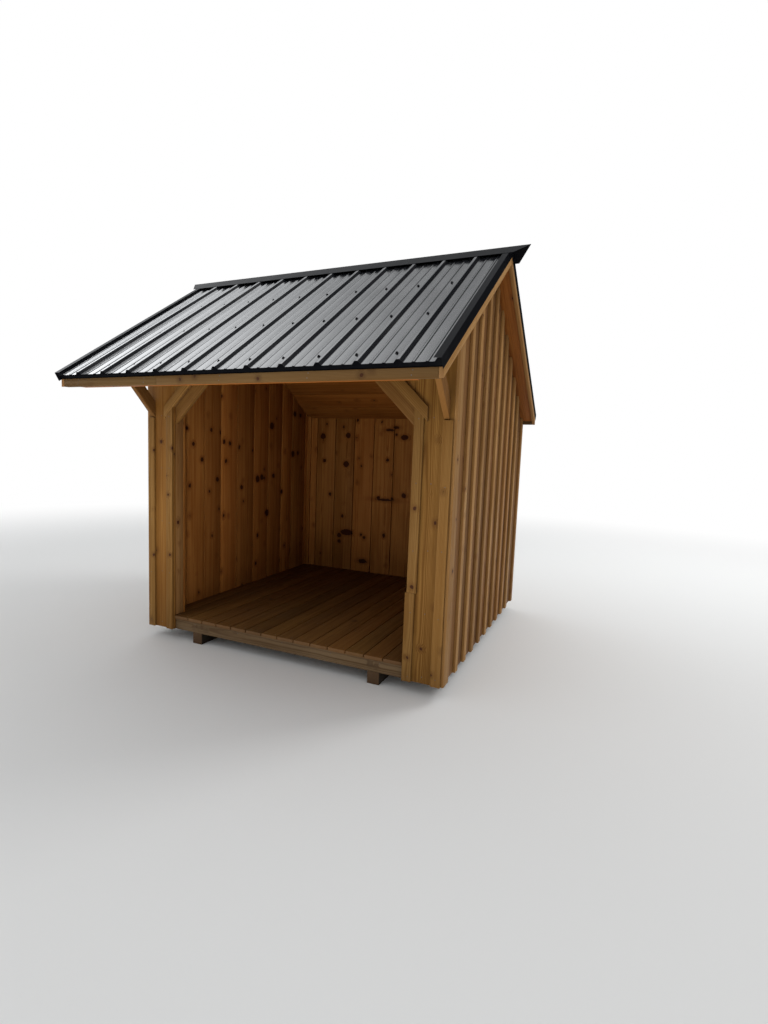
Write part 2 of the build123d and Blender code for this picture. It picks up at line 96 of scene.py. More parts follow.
@dataclass(frozen=True)
class Datum:
    """Planes that the sub-assemblies share, in inches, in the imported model's frame."""

    stick: float = 1.5
    stud: float = 3.5
    board: float = 0.75
    batten: float = 2.5
    gap: float = 0.012            # between pieces that are written together
    half_frame: float = 48.0
    front_face: float = -35.25    # outer face of the front boards
    frame_front: float = -34.5
    frame_rear: float = 61.5
    rear_face: float = 62.25
    rim_z: float = 3.5
    deck_z: float = 7.0
    floor_z: float = 8.0
    slope: float = 0.63
    apex_y: float = -2.65
    apex_z: float = 118.9
    rafter_top: float = 0.75      # depths are square to the slope, below the metal
    rafter_low: float = 4.25
    soffit_low: float = 5.0
    lookout_low: float = 2.25
    rake_soffit_low: float = 3.0
    fascia_y: float = -62.75
    rear_fascia_y: float = 63.0
    fascia_height: float = 3.0
    barge_in: float = 52.8
    barge_out: float = 53.8
    panel: float = 10.0
    header: float = 9.35

    @property
    def side_face(self) -> float:
        """Outer face of the side boards."""
        return self.half_frame + self.board

    @property
    def wall_in(self) -> float:
        """Inner face of the side studs."""
        return self.half_frame - self.stud

    @property
    def lining_in(self) -> float:
        """Inner face of the side lining."""
        return self.wall_in - self.board

    @property
    def front_in(self) -> float:
        """Inner face of the front studs."""
        return self.frame_front + self.stud

    @property
    def rear_in(self) -> float:
        """Inner face of the back studs."""
        return self.frame_rear - self.stud

    @property
    def strip_x(self) -> float:
        """Edge of the boards beside the opening."""
        return self.side_face - self.panel

    @property
    def jamb_x(self) -> float:
        """Face of the jamb stud that looks into the opening, flush with the boards beside it."""
        return self.strip_x - self.gap

    @property
    def pitch(self) -> float:
        """Roof angle in radians."""
        return math.atan(self.slope)

    @property
    def opening_top(self) -> float:
        """Underside of the header."""
        return self.roof_z(self.frame_front, self.rafter_low) - self.header

    @property
    def fascia_z(self) -> float:
        """Lower edge of the front fascia."""
        return self.roof_z(self.fascia_y, self.rafter_top) - self.fascia_height

    @property
    def rear_fascia_z(self) -> float:
        """Lower edge of the rear fascia."""
        return self.roof_z(self.rear_fascia_y, self.rafter_top) - self.fascia_height

    def roof_z(self, y: float, depth: float = 0.0) -> float:
        """Height of the plane that lies below the metal.

        Args:
            y: place along the depth of the shed.
            depth: distance below the metal, square to the slope.

        Returns:
            The plane's height at y.
        """
        return self.apex_z - self.slope * abs(y - self.apex_y) - depth / math.cos(self.pitch)

    def on_slope(self, run: float, depth: float, side: Side) -> tuple[float, float]:
        """Point of a slope's side view.

        Args:
            run: distance down the slope from the ridge.
            depth: distance below the metal, square to the slope.
            side: FRONT or REAR slope.

        Returns:
            (y, z) of the point.
        """
        cos, sin = math.cos(self.pitch), math.sin(self.pitch)
        return self.apex_y + side.sign * (run * cos - depth * sin), self.apex_z - run * sin - depth * cos

    def run_to(self, y: float, depth: float) -> float:
        """Distance down the slope, from the ridge to depth y, along the plane at a depth."""
        return (abs(y - self.apex_y) + depth * math.sin(self.pitch)) / math.cos(self.pitch)

    def outward(self, side: Side) -> Vector:
        """Unit vector out of one slope."""
        return Vector((0.0, side.sign * math.sin(self.pitch), math.cos(self.pitch)))

    def down(self, side: Side) -> Vector:
        """Unit vector down one slope."""
        return Vector((0.0, side.sign * math.cos(self.pitch), -math.sin(self.pitch)))


D = Datum()


@dataclass(frozen=True)
class Cut:
    """A saw cut: what lies on the side of the normal falls off."""

    point: Point
    normal: Vector


def roof_cuts(depth: float) -> list[Cut]:
    """Cuts that trim a wall's top to both slopes at a depth below the metal."""
    return [Cut((0.0, *D.on_slope(0.0, depth, side)), D.outward(side)) for side in (Side.FRONT, Side.REAR)]


@dataclass(frozen=True)
class Board:
    """A square-edged board before its ends are cut, in inches.

    The size runs along the grain, across the face and through the thickness.
    """

    middle: Vector
    size: Vector
    along: Vector
    across: Vector

    @classmethod
    def square(cls, x: Span, y: Span, z: Span, grain: Grain) -> "Board":
        """Level or upright board.

        Args:
            x: its reach from left to right.
            y: its reach from front to back.
            z: its reach in height.
            grain: direction of the grain.

        Returns:
            The board, its face across the wider of the other two directions.
        """
        low, high = (Vector(corner) for corner in zip(x, y, z))
        along = {Grain.ACROSS: X, Grain.DEEP: Y, Grain.UP: Z}[grain]
        extent = high - low
        others = sorted((a for a in (X, Y, Z) if a != along), key=lambda a: -extent.dot(a))
        size = Vector((extent.dot(along), extent.dot(others[0]), extent.dot(others[1])))
        return cls((low + high) / 2, size, along, others[0])

    @classmethod
    def on_roof(cls, x: Span, run: Span, depth: Span, side: Side, down_slope: bool) -> "Board":
        """Board that lies in one slope.

        Args:
            x: its reach from left to right.
            run: its reach down the slope from the ridge.
            depth: its top and underside below the metal.
            side: FRONT or REAR slope.
            down_slope: whether the grain runs down the slope and not along the ridge.

        Returns:
            The board.
        """
        y, z = D.on_slope(sum(run) / 2, sum(depth) / 2, side)
        wide, long, thick = x[1] - x[0], run[1] - run[0], depth[1] - depth[0]
        middle = Vector((sum(x) / 2, y, z))
        if down_slope:
            return cls(middle, Vector((long, wide, thick)), D.down(side), X)
        return cls(middle, Vector((wide, long, thick)), X, D.down(side))

    @property
    def turn(self) -> Matrix:
        """Rotation from the board's own axes to the shed's."""
        return Matrix((self.along, self.across, self.along.cross(self.across))).transposed()


def spans(start: float, end: float, joint: float, pitch: float) -> list[Span]:
    """Divides a stretch at joints that repeat.

    Args:
        start: where the stretch starts.
        end: where it ends.
        joint: the first joint after the start.
        pitch: distance between joints.

    Returns:
        The reach of each board between the joints.
    """
    edges = [start]
    while joint < end:
        edges.append(joint)
        joint += pitch
    return list(zip(edges, [*edges[1:], end]))


def shrunk(span: Span, gap: float) -> Span:
    """A reach that stops short by a gap at both ends."""
    return span[0] + gap, span[1] - gap


def clear_selection() -> None:
    """Leaves edit mode and deselects everything."""
    if bpy.context.mode != "OBJECT":
        bpy.ops.object.mode_set(mode="OBJECT")
    bpy.ops.object.select_all(action="DESELECT")


def pick(objects: Sequence[bpy.types.Object]) -> None:
    """Selects objects and makes the first the active one.

    Args:
        objects: at least one object.
    """
    clear_selection()
    for item in objects:
        item.select_set(True)
    bpy.context.view_layer.objects.active = objects[0]


def join(objects: Sequence[bpy.types.Object], name: str) -> bpy.types.Object:
    """Joins objects into one at the origin, unturned and unscaled.

    Args:
        objects: at least one mesh object.
        name: name of the joined object and of its mesh.

    Returns:
        The joined object.
    """
    pick(objects)
    if len(objects) > 1:
        bpy.ops.object.join()
    piece = bpy.context.object
    bpy.ops.object.transform_apply(location=True, rotation=True, scale=True)
    piece.name = piece.data.name = name
    return piece


def strew(master: bpy.types.Object, places: Iterable[Matrix], name: str) -> bpy.types.Object:
    """Copies a small part to many places and joins the copies into one piece.

    Args:
        master: the part, standing up from the origin; it is removed.
        places: where each copy goes, in metres.
        name: the piece's name.

    Returns:
        The joined piece.
    """
    copies = []
    for place in places:
        item = master.copy()
        item.data = master.data.copy()
        item.matrix_world = place
        bpy.context.collection.objects.link(item)
        copies.append(item)
    bpy.data.objects.remove(master)
    return join(copies, name)


def saw(piece: bpy.types.Object, cuts: Iterable[Cut]) -> None:
    """Cuts a piece in edit mode and closes the cut faces.

    Args:
        piece: mesh object to cut.
        cuts: the cuts, in inches.
    """
    pick([piece])
    bpy.ops.object.mode_set(mode="EDIT")
    for cut in cuts:
        bpy.ops.mesh.select_all(action="SELECT")
        bpy.ops.mesh.bisect(plane_co=Vector(cut.point) * INCH, plane_no=cut.normal, use_fill=True, clear_outer=True)
    bpy.ops.object.mode_set(mode="OBJECT")


def ease_edges(piece: bpy.types.Object, width: float, segments: int = 2, angle: float = 30.0) -> None:
    """Rounds every edge sharper than an angle and shades the bends smooth.

    Args:
        piece: mesh object.
        width: width of the bend in metres.
        segments: faces across it.
        angle: edges sharper than this many degrees are rounded.
    """
    pick([piece])
    bevel = piece.modifiers.new("eased", "BEVEL")
    bevel.width = width
    bevel.segments = segments
    bevel.limit_method = "ANGLE"
    bevel.angle_limit = math.radians(angle)
    bpy.ops.object.modifier_apply(modifier=bevel.name)
    bpy.ops.object.shade_smooth_by_angle(angle=math.radians(angle + 10.0))


def seat(piece: bpy.types.Object, material: bpy.types.Material, replaces: Sequence[str] = ()) -> None:
    """Dresses a finished piece, rides it on the shed and reports it.

    Args:
        piece: finished object, its place in its mesh.
        material: its finish.
        replaces: CAD nodes that it stands for.
    """
    piece.data.materials.clear()
    piece.data.materials.append(material)
    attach(piece, "root")
    if replaces:
        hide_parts(*replaces)
    log.info("%s: %d faces", piece.name, len(piece.data.polygons))


def dress_solids(nodes: Iterable[str], material: bpy.types.Material) -> None:
    """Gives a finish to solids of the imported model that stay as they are."""
    for node in nodes:
        frame["nodes"][node].data.materials[0] = material
        log.info("%s: kept", node)


NOTES = ("board_mid", "board_along", "board_across", "board_log")
LOG_LENGTH = 40.0              # metres of log that boards are cut from
HEART_ASIDE = 0.07             # farthest that a board lies to one side of its log's heart, in metres
HEART_BELOW = (0.02, 0.09)     # how far it lies above or below the heart
END_GRAIN_COSINE = 0.6         # faces turned more than this towards the grain show end grain


class Joinery:
    """Boards that are laid, joined, sawn and eased into one named piece."""

    def __init__(self, name: str) -> None:
        """Starts a piece; its boards' grain is settled by its name.

        Args:
            name: the piece's name.
        """
        self.name = name
        self.chance = random.Random(sum((k + 1) * ord(letter) for k, letter in enumerate(name)))
        self.boards: list[bpy.types.Object] = []
        self.stock: dict[tuple[float, ...], bpy.types.Object] = {}

    def lay(self, board: Board, cuts: Sequence[Cut] = ()) -> None:
        """Adds one board; a size met before is copied from the first of its kind.

        Args:
            board: where and how large the board is.
            cuts: saw cuts for this board alone.
        """
        key = tuple(round(v, 4) for v in (*board.size, *board.along, *board.across))
        place = board.middle * INCH
        if key in self.stock and not cuts:
            master = self.stock[key]
            item = master.copy()
            item.data = master.data.copy()
            item.location = place
            bpy.context.collection.objects.link(item)
        else:
            clear_selection()
            bpy.ops.mesh.primitive_cube_add(size=1.0, location=place, rotation=board.turn.to_euler(),
                                            scale=board.size * INCH)
            item = bpy.context.object
            if not cuts:
                self.stock[key] = item
        self.mark(item.data, board)
        if cuts:
            saw(item, cuts)
        self.boards.append(item)

    def box(self, x: Span, y: Span, z: Span, grain: Grain = Grain.UP, cuts: Sequence[Cut] = ()) -> None:
        """Adds one level or upright board by its reach along X, Y and Z."""
        self.lay(Board.square(x, y, z, grain), cuts)

    def mark(self, mesh: bpy.types.Mesh, board: Board) -> None:
        """Notes on a board's points where its own axes lie and which log it came from.

        Args:
            mesh: the board's mesh.
            board: its place and axes.
        """
        count = len(mesh.vertices)
        heart = Vector((self.chance.uniform(0.0, LOG_LENGTH), self.chance.uniform(-HEART_ASIDE, HEART_ASIDE),
                        self.chance.choice((-1, 1)) * self.chance.uniform(*HEART_BELOW)))
        for name, value in zip(NOTES, (board.middle * INCH, board.along, board.across, heart)):
            layer = mesh.attributes.get(name) or mesh.attributes.new(name, "FLOAT_VECTOR", "POINT")
            layer.data.foreach_set("vector", np.tile(np.array(value, np.float32), count))
        seed = mesh.attributes.get("board_seed") or mesh.attributes.new("board_seed", "FLOAT", "POINT")
        seed.data.foreach_set("value", np.full(count, self.chance.random(), np.float32))

    def finish(self, material: bpy.types.Material, slot: str, node: str, cuts: Sequence[Cut] = (),
               ease: float = 0.0016) -> None:
        """Joins, saws, eases and dresses the piece.

        Args:
            material: wood finish.
            slot: the record's material slot; not used.
            node: CAD node that the piece stands for.
            cuts: saw cuts through all of its boards.
            ease: width of the rounded edges in metres.
        """
        piece = join(self.boards, self.name)
        if cuts:
            saw(piece, cuts)
        ease_edges(piece, ease)
        self.run_grain(piece.data)
        seat(piece, material, [node])

    @staticmethod
    def run_grain(mesh: bpy.types.Mesh) -> None:
        """Turns the boards' notes into grain coordinates and end-grain marks.

        Args:
            mesh: the joined, sawn and eased mesh.
        """
        count = len(mesh.vertices)
        place = np.zeros(count * 3, np.float32)
        mesh.vertices.foreach_get("co", place)
        notes = {}
        for name in NOTES:
            values = np.zeros(count * 3, np.float32)
            mesh.attributes[name].data.foreach_get("vector", values)
            notes[name] = values.reshape(-1, 3)
            mesh.attributes.remove(mesh.attributes[name])
        middle, along, across, heart = (notes[name] for name in NOTES)
        offset = place.reshape(-1, 3) - middle
        grain = np.stack([(offset * axis).sum(1) for axis in (along, across, np.cross(along, across))], 1)
        layer = mesh.attributes.new("board_co", "FLOAT_VECTOR", "POINT")
        layer.data.foreach_set("vector", (grain + heart).astype(np.float32).ravel())
        first = np.array([face.vertices[0] for face in mesh.polygons])
        normals = np.zeros(len(mesh.polygons) * 3, np.float32)
        mesh.polygons.foreach_get("normal", normals)
        facing = np.abs((normals.reshape(-1, 3) * along[first]).sum(1))
        ends = mesh.attributes.new("board_end", "FLOAT", "FACE")
        ends.data.foreach_set("value", (facing > END_GRAIN_COSINE).astype(np.float32))


# Finishes


class Net:
    """Short hand for the nodes of one material, or of the sky."""

    def __init__(self, owner: bpy.types.Material | bpy.types.World, output: str = "OutputMaterial") -> None:
        """Empties the owner's nodes but for its output.

        Args:
            owner: new material or world.
            output: kind of its output node.
        """
        owner.use_nodes = True
        self.owner, self.tree = owner, owner.node_tree
        self.tree.nodes.clear()
        self.output = self.add(output)

    def add(self, kind: str, settings: dict | None = None, **inputs: object) -> bpy.types.Node:
        """Adds a node.

        Args:
            kind: node type without its ShaderNode prefix.
            settings: properties of the node.
            **inputs: sockets by name, with _ for a space, or by number as i0, i1; a socket is linked, a value is set.

        Returns:
            The node.
        """
        node = self.tree.nodes.new("ShaderNode" + kind)
        for name, value in (settings or {}).items():
            setattr(node, name, value)
        for name, value in inputs.items():
            key = int(name[1:]) if name[0] == "i" and name[1:].isdigit() else name.replace("_", " ")
            if isinstance(value, bpy.types.NodeSocket):
                self.tree.links.new(value, node.inputs[key])
            else:
                node.inputs[key].default_value = value
        return node

    def math(self, operation: str, a: object, b: object = 0.0, clamp: bool = False) -> bpy.types.NodeSocket:
        """Result of a math node."""
        return self.add("Math", {"operation": operation, "use_clamp": clamp}, i0=a, i1=b).outputs[0]

    def vector(self, operation: str, a: object, b: object = (0.0, 0.0, 0.0)) -> bpy.types.NodeSocket:
        """Vector result of a vector math node."""
        return self.add("VectorMath", {"operation": operation}, i0=a, i1=b).outputs[0]

    def noise(self, vector: bpy.types.NodeSocket, stretch: Point, detail: float = 2.0,
              roughness: float = 0.5) -> bpy.types.Node:
        """Noise over stretched coordinates, in cells per metre."""
        place = self.vector("MULTIPLY", vector, stretch)
        return self.add("TexNoise", None, Vector=place, Scale=1.0, Detail=detail, Roughness=roughness)

    def between(self, value: bpy.types.NodeSocket, low: object, high: object, start: float = 0.0,
                end: float = 1.0) -> bpy.types.NodeSocket:
        """Moves a value smoothly from one range to another and keeps it there.

        Args:
            value: what is moved.
            low: what becomes the start.
            high: what becomes the end.
            start: first value of the result's range.
            end: last value of the result's range.

        Returns:
            The moved value.
        """
        settings = {"interpolation_type": "SMOOTHSTEP"}
        node = self.add("MapRange", settings, Value=value, From_Min=low, From_Max=high, To_Min=start, To_Max=end)
        return node.outputs[0]

    def mix(self, factor: object, a: object, b: object, blend: str = "MIX") -> bpy.types.NodeSocket:
        """Colour mixed from a to b."""
        node = self.add("Mix", {"data_type": "RGBA", "blend_type": blend}, i0=factor, i6=a, i7=b)
        return node.outputs[2]

    def shift(self, factor: object, share: float, a: object, b: Color) -> bpy.types.NodeSocket:
        """Colour a, moved towards a plain colour by a share of a factor."""
        return self.mix(self.math("MULTIPLY", factor, share), a, rgba(b))

    def surface(self, shader: bpy.types.Node) -> bpy.types.Material | bpy.types.World:
        """Links the shader to the output and hands over the owner."""
        self.tree.links.new(shader.outputs[0], self.output.inputs[0])
        return self.owner


def rgba(color: Color) -> tuple[float, float, float, float]:
    """Colour with full alpha."""
    return (*color, 1.0)


def tinted(color: Color, tint: Color) -> Color:
    """Product of two colours."""
    return (color[0] * tint[0], color[1] * tint[1], color[2] * tint[2])


@dataclass(frozen=True)
class Knot:
    """A knot that the photograph shows, in inches: from the middle, behind the front face, and height."""

    place: Point
    radius: float = 0.5
    spike: float = 1.0      # how many times wider than high

    @property
    def point(self) -> Vector:
        """Its middle in the shed's frame, in metres."""
        return Vector((self.place[0], D.front_face + self.place[1], self.place[2])) * INCH


def knots_on(axis: Grain, at: float, *rows: tuple[float, ...]) -> tuple[Knot, ...]:
    """Knots in one plane of boards.

    Args:
        axis: ACROSS for a plane that faces the middle, DEEP for one that faces the front.
        at: the plane's distance from the middle, or behind the front face.
        *rows: each knot's two other coordinates and radius, and its spike where it isn't round.

    Returns:
        The knots.
    """
    return tuple(Knot((at, *row[:2]) if axis is Grain.ACROSS else (row[0], at, row[1]), *row[2:]) for row in rows)


RIM_KNOTS = knots_on(Grain.DEEP, 0.0, (-31.15, 4.94, 0.3), (-29.35, 5.09, 0.25), (-15.51, 7.0, 0.35),
                     (29.03, 5.45, 0.35), (30.79, 5.12, 0.25))
FASCIA_KNOTS = knots_on(Grain.DEEP, -27.5, (-11.7, 78.2, 0.3), (-7.1, 78.9, 0.25), (11.0, 77.9, 0.3),
                        (36.4, 78.1, 0.35))
SIDING_KNOTS = knots_on(Grain.DEEP, 0.0, (47.8, 47.8, 0.5), (46.5, 23.8, 0.45), (43.2, 12.6, 0.3), (-44.0, 63.0, 0.4))
BATTEN_KNOTS = knots_on(Grain.DEEP, -0.75, (40.1, 48.5, 0.4), (40.2, 28.6, 0.45), (39.9, 9.9, 0.3), (46.2, 6.6, 0.35),
                        (-41.8, 52.5, 0.45), (-39.9, 27.6, 0.35), (-46.6, 26.9, 0.4), (-40.5, 46.6, 0.3),
                        (-46.4, 60.2, 0.3), (-38.9, 61.0, 0.4))
WALL_KNOTS = knots_on(Grain.ACROSS, 49.5, (6.4, 18.2, 0.35), (42.9, 18.2, 0.3), (69.3, 10.8, 0.3), (3.2, 33.0, 0.4),
                      (4.0, 46.0, 0.3), (2.4, 61.0, 0.35))
BACK_LINING_KNOTS = knots_on(Grain.DEEP, 92.5, (-5.1, 40.6, 0.5, 7.0), (-8.2, 41.3, 0.7), (-1.9, 41.2, 0.6),
                             (-4.1, 70.5, 0.5, 3.5), (-1.2, 71.6, 0.6, 2.0), (-1.0, 68.6, 0.45), (2.6, 67.5, 1.0, 1.6),
                             (-36.1, 67.2, 1.25), (-23.6, 67.8, 1.15), (-24.2, 55.2, 1.3), (-23.0, 24.8, 1.3, 2.2),
                             (-26.6, 23.2, 1.0), (-26.4, 20.5, 0.8), (-35.0, 56.4, 0.7), (-14.7, 12.6, 0.9, 2.2),
                             (-15.8, 24.4, 0.5), (-4.6, 57.8, 0.6), (3.4, 43.0, 1.0))
LEFT_LINING_KNOTS = knots_on(Grain.ACROSS, -43.75, (62.3, 70.4, 1.4), (80.2, 76.3, 1.1), (79.3, 59.0, 1.3),
                             (83.4, 59.4, 0.8), (85.0, 76.0, 0.8), (19.1, 57.2, 0.7), (14.7, 62.4, 0.6),
                             (11.5, 67.6, 0.55), (24.0, 67.4, 0.6), (34.6, 62.9, 0.7), (32.3, 56.5, 0.65),
                             (52.6, 49.2, 1.3), (55.5, 49.8, 1.1), (59.6, 35.0, 1.3), (27.5, 50.0, 0.8),
                             (42.0, 46.5, 0.8), (64.0, 50.0, 0.9), (70.5, 43.0, 0.8))

# Patterns in wood, in cells per metre along the grain, across the face and through the board
BENDS = (1.1, 6.0, 6.0)
STREAKS = (0.9, 34.0, 34.0)
FIBRES = (14.0, 520.0, 520.0)
CLOUDS = (1.6, 5.0, 5.0)
KNOT_EDGES = (34.0, 52.0, 52.0)
GREYING = (3.0, 3.0, 3.0)
BOARD_TONES = (0.7, 0.7, 0.7)      # where a piece's boards aren't told apart
BEND_REACH = 0.03                  # metres that the grain wanders
BEND_ROUND_KNOT = (0.012, 0.006)   # metres that rings bow round a knot, across and through the board
RING_SCALE = 0.314                 # the wave pattern's scale for rings one metre apart
LATE_WOOD = 2.2                    # power that narrows the dark part of a ring
SEED_TURN = 7.31                   # makes a second number of a board's seed

# Scattered knots, in metres where nothing else is said
KNOT_CELLS = 7.0                   # places for a knot per metre
KNOT_SPREAD = (0.8, 1.0, 0.4)      # of these places along the grain, across the face and through the board
LEAST_KNOT = 0.35                  # radius of the smallest against the largest
NO_KNOT = 1.0                      # how far off a knot is put that isn't there
UNEVEN = 0.024                     # how far a knot's edge wanders
SOFT_EDGE = 0.002                  # half the width of a knot's edge
BARK_WIDTH = 0.003                 # to each side of the edge
HALO_WIDTH = 0.035                 # reach of the bent grain

# Tints of the wood, each with its share
WARM_TINT, WARM_SHARE = (0.95, 0.7, 0.55), 0.35
HALO_TINT, HALO_SHARE = (0.75, 0.65, 0.7), 0.6
BARK_SHARE = 0.7
END_SHARE = 0.55

# Height of the wood's relief that each pattern gives
FIBRE_RELIEF, RING_RELIEF, BARK_RELIEF = 0.5, 0.35, 0.6

# Patterns on metal and on the floor, in cells per metre along the shed's axes
VEIL = (2.2, 2.2, 2.2)             # faint dust
RUNS = (26.0, 1.4, 1.4)            # streaks that rain leaves down the slope
SPECKS = (240.0, 240.0, 240.0)
ROLLING = (7.0, 0.8, 0.8)          # marks of the rolling mill
SPANGLE = (900.0, 900.0, 900.0)    # zinc crystals
MOTTLE = (1.5, 1.5, 1.5)
SPECK_SHARE = 0.25                 # of the dust
RUN_RELIEF = 0.15                  # against the rolling marks
MOTTLE_SHARE = 0.06

# Colours that several finishes share
END_GRAIN = (0.12, 0.062, 0.028)
GREYED = (0.15, 0.118, 0.082)
KNOT_BARK = (0.018, 0.007, 0.003)
DUST = (0.23, 0.22, 0.2)


@dataclass(frozen=True)
class Wood:
    """Sawn softwood: year rings, fibres, knots and stain."""

    name: str
    pale: Color = (0.30, 0.165, 0.062)     # early wood
    dark: Color = (0.185, 0.088, 0.027)    # late wood
    heart: Color = (0.045, 0.014, 0.005)   # knots
    tone: float = 0.30                     # how far boards differ in tone
    ring: float = 0.26                     # inches between year rings
    figure: float = 0.55                   # strength of the rings
    knotty: float = 0.45                   # share of the possible knots that are there
    knot_size: float = 0.012               # radius of the largest knots in metres
    weather: float = 0.0                   # how far it has greyed
    roughness: float = 0.62
    wear: tuple[float, float] = (-0.08, 0.1)     # change of roughness from the smoothest streaks to the roughest
    index: float = 1.22                    # of refraction: low, for a dry and fibrous face
    relief: float = 0.0012                 # height of fibres and rings in metres
    bump: float = 0.35                     # strength of the relief
    knots: tuple[Knot, ...] = ()
    by_board: bool = True                  # grain follows each board's own axes
    stretch: Point = (1.0, 1.0, 1.0)

    def material(self) -> bpy.types.Material:
        """Builds the material.

        Returns:
            The material, to be shared by the pieces of this wood.
        """
        net = Net(bpy.data.materials.new(self.name))
        place = net.add("TexCoord").outputs["Object"]
        if self.by_board:
            grain = net.add("Attribute", {"attribute_name": "board_co"}).outputs["Vector"]
            seed = net.add("Attribute", {"attribute_name": "board_seed"}).outputs["Fac"]
            end = net.add("Attribute", {"attribute_name": "board_end"}).outputs["Fac"]
        else:
            grain = net.vector("MULTIPLY", place, self.stretch)
            seed = net.noise(place, BOARD_TONES).outputs[0]
            end = net.math("MULTIPLY", seed, 0.0)
        bark, halo, core = self.knot_field(net, grain, place)
        rings = self.year_rings(net, grain, halo)
        streak = net.noise(grain, STREAKS, 3.0, 0.6).outputs[0]
        fibre = net.noise(grain, FIBRES, 2.0).outputs[0]
        cloud = net.noise(grain, CLOUDS, 2.0).outputs[0]
        late = net.math("MULTIPLY", rings, self.figure)
        # Each pattern darkens the wood from a low value to a high one, by its share
        patterns = ((streak, 0.38, 0.68, 0.5), (fibre, 0.3, 0.75, 0.16), (cloud, 0.35, 0.7, 0.34))
        for pattern, low, high, share in patterns:
            late = net.math("ADD", late, net.math("MULTIPLY", net.between(pattern, low, high), share), clamp=True)
        color = net.mix(late, rgba(self.pale), rgba(self.dark))
        warm = net.math("FRACT", net.math("MULTIPLY", seed, SEED_TURN))
        color = net.shift(warm, WARM_SHARE, color, tinted(self.pale, WARM_TINT))
        lift = net.math("ADD", net.math("MULTIPLY", net.math("SUBTRACT", seed, 0.5), self.tone), 1.0)
        lift = net.add("CombineColor", None, Red=lift, Green=lift, Blue=lift).outputs[0]
        color = net.mix(1.0, color, lift, "MULTIPLY")
        color = net.shift(halo, HALO_SHARE, color, tinted(self.dark, HALO_TINT))
        color = net.mix(core, color, rgba(self.heart))
        color = net.shift(bark, BARK_SHARE, color, KNOT_BARK)
        color = net.shift(end, END_SHARE, color, END_GRAIN)
        if self.weather:
            grey = net.between(net.noise(place, GREYING, 4.0).outputs[0], 0.3, 0.8, 0.4, 1.0)
            color = net.shift(grey, self.weather, color, GREYED)
        rough = net.between(streak, 0.3, 0.7, *(self.roughness + change for change in self.wear))
        height = net.math("ADD", net.math("MULTIPLY", fibre, FIBRE_RELIEF), net.math("MULTIPLY", rings, RING_RELIEF))
        height = net.math("SUBTRACT", height, net.math("MULTIPLY", bark, BARK_RELIEF))
        bump = net.add("Bump", None, Strength=self.bump, Distance=self.relief, Height=height)
        return net.surface(net.add("BsdfPrincipled", None, Base_Color=color, Roughness=rough, Normal=bump.outputs[0],
                                   IOR=self.index))

    def year_rings(self, net: Net, grain: bpy.types.NodeSocket, halo: bpy.types.NodeSocket) -> bpy.types.NodeSocket:
        """Rings round the log's heart, which wander and bow round knots.

        Args:
            net: the material's nodes.
            grain: coordinates in the board's own axes.
            halo: how near a knot is.

        Returns:
            Early wood as 0, late wood as 1.
        """
        wander = net.vector("SUBTRACT", net.noise(grain, BENDS, 3.0).outputs["Color"], (0.5, 0.5, 0.5))
        wander = net.vector("MULTIPLY", wander, (0.0, BEND_REACH, BEND_REACH))
        aside, through = (net.math("MULTIPLY", halo, reach) for reach in BEND_ROUND_KNOT)
        around = net.add("CombineXYZ", None, Y=aside, Z=through)
        log_co = net.vector("ADD", net.vector("ADD", grain, wander), around.outputs[0])
        wave = net.add("TexWave", {"wave_type": "RINGS", "rings_direction": "X", "wave_profile": "SIN"},
                       Vector=log_co, Scale=RING_SCALE / (self.ring * INCH), Distortion=0.0)
        return net.math("POWER", wave.outputs["Fac"], LATE_WOOD)

    def knot_field(self, net: Net, grain: bpy.types.NodeSocket,
                   place: bpy.types.NodeSocket) -> tuple[bpy.types.NodeSocket, ...]:
        """Knots scattered through the boards, and those whose place is known.

        Args:
            net: the material's nodes.
            grain: coordinates in the board's own axes.
            place: coordinates in the shed's axes.

        Returns:
            Dark bark round the knots, halo of bent grain, and the knots themselves, each from 0 to 1.
        """
        spread = net.vector("MULTIPLY", grain, KNOT_SPREAD)
        scatter = net.add("TexVoronoi", {"feature": "F1"}, Vector=spread, Scale=KNOT_CELLS)
        traits = net.add("SeparateColor", None, Color=scatter.outputs["Color"]).outputs
        there = net.math("LESS_THAN", traits[0], self.knotty)
        radius = net.between(traits[1], 0.0, 1.0, self.knot_size * LEAST_KNOT, self.knot_size)
        reach = net.math("DIVIDE", scatter.outputs["Distance"], KNOT_CELLS)
        reach = net.math("SUBTRACT", reach, net.math("MULTIPLY", there, radius))
        reach = net.math("ADD", reach, net.math("MULTIPLY", net.math("SUBTRACT", 1.0, there), NO_KNOT))
        for knot in self.knots:
            offset = net.vector("MULTIPLY", net.vector("SUBTRACT", place, knot.point),
                                (1 / knot.spike, 1 / knot.spike, 1.0))
            apart = net.add("VectorMath", {"operation": "LENGTH"}, i0=offset).outputs["Value"]
            reach = net.math("MINIMUM", reach, net.math("SUBTRACT", apart, knot.radius * INCH))
        uneven = net.math("SUBTRACT", net.noise(grain, KNOT_EDGES, 4.0, 0.6).outputs[0], 0.5)
        reach = net.math("ADD", reach, net.math("MULTIPLY", uneven, UNEVEN))
        core = net.between(reach, -SOFT_EDGE, SOFT_EDGE, 1.0, 0.0)
        halo = net.between(reach, 0.0, HALO_WIDTH, 1.0, 0.0)
        bark = net.math("MULTIPLY", net.between(reach, -BARK_WIDTH, 0.0),
                        net.between(reach, 0.0, BARK_WIDTH, 1.0, 0.0))
        return bark, halo, core


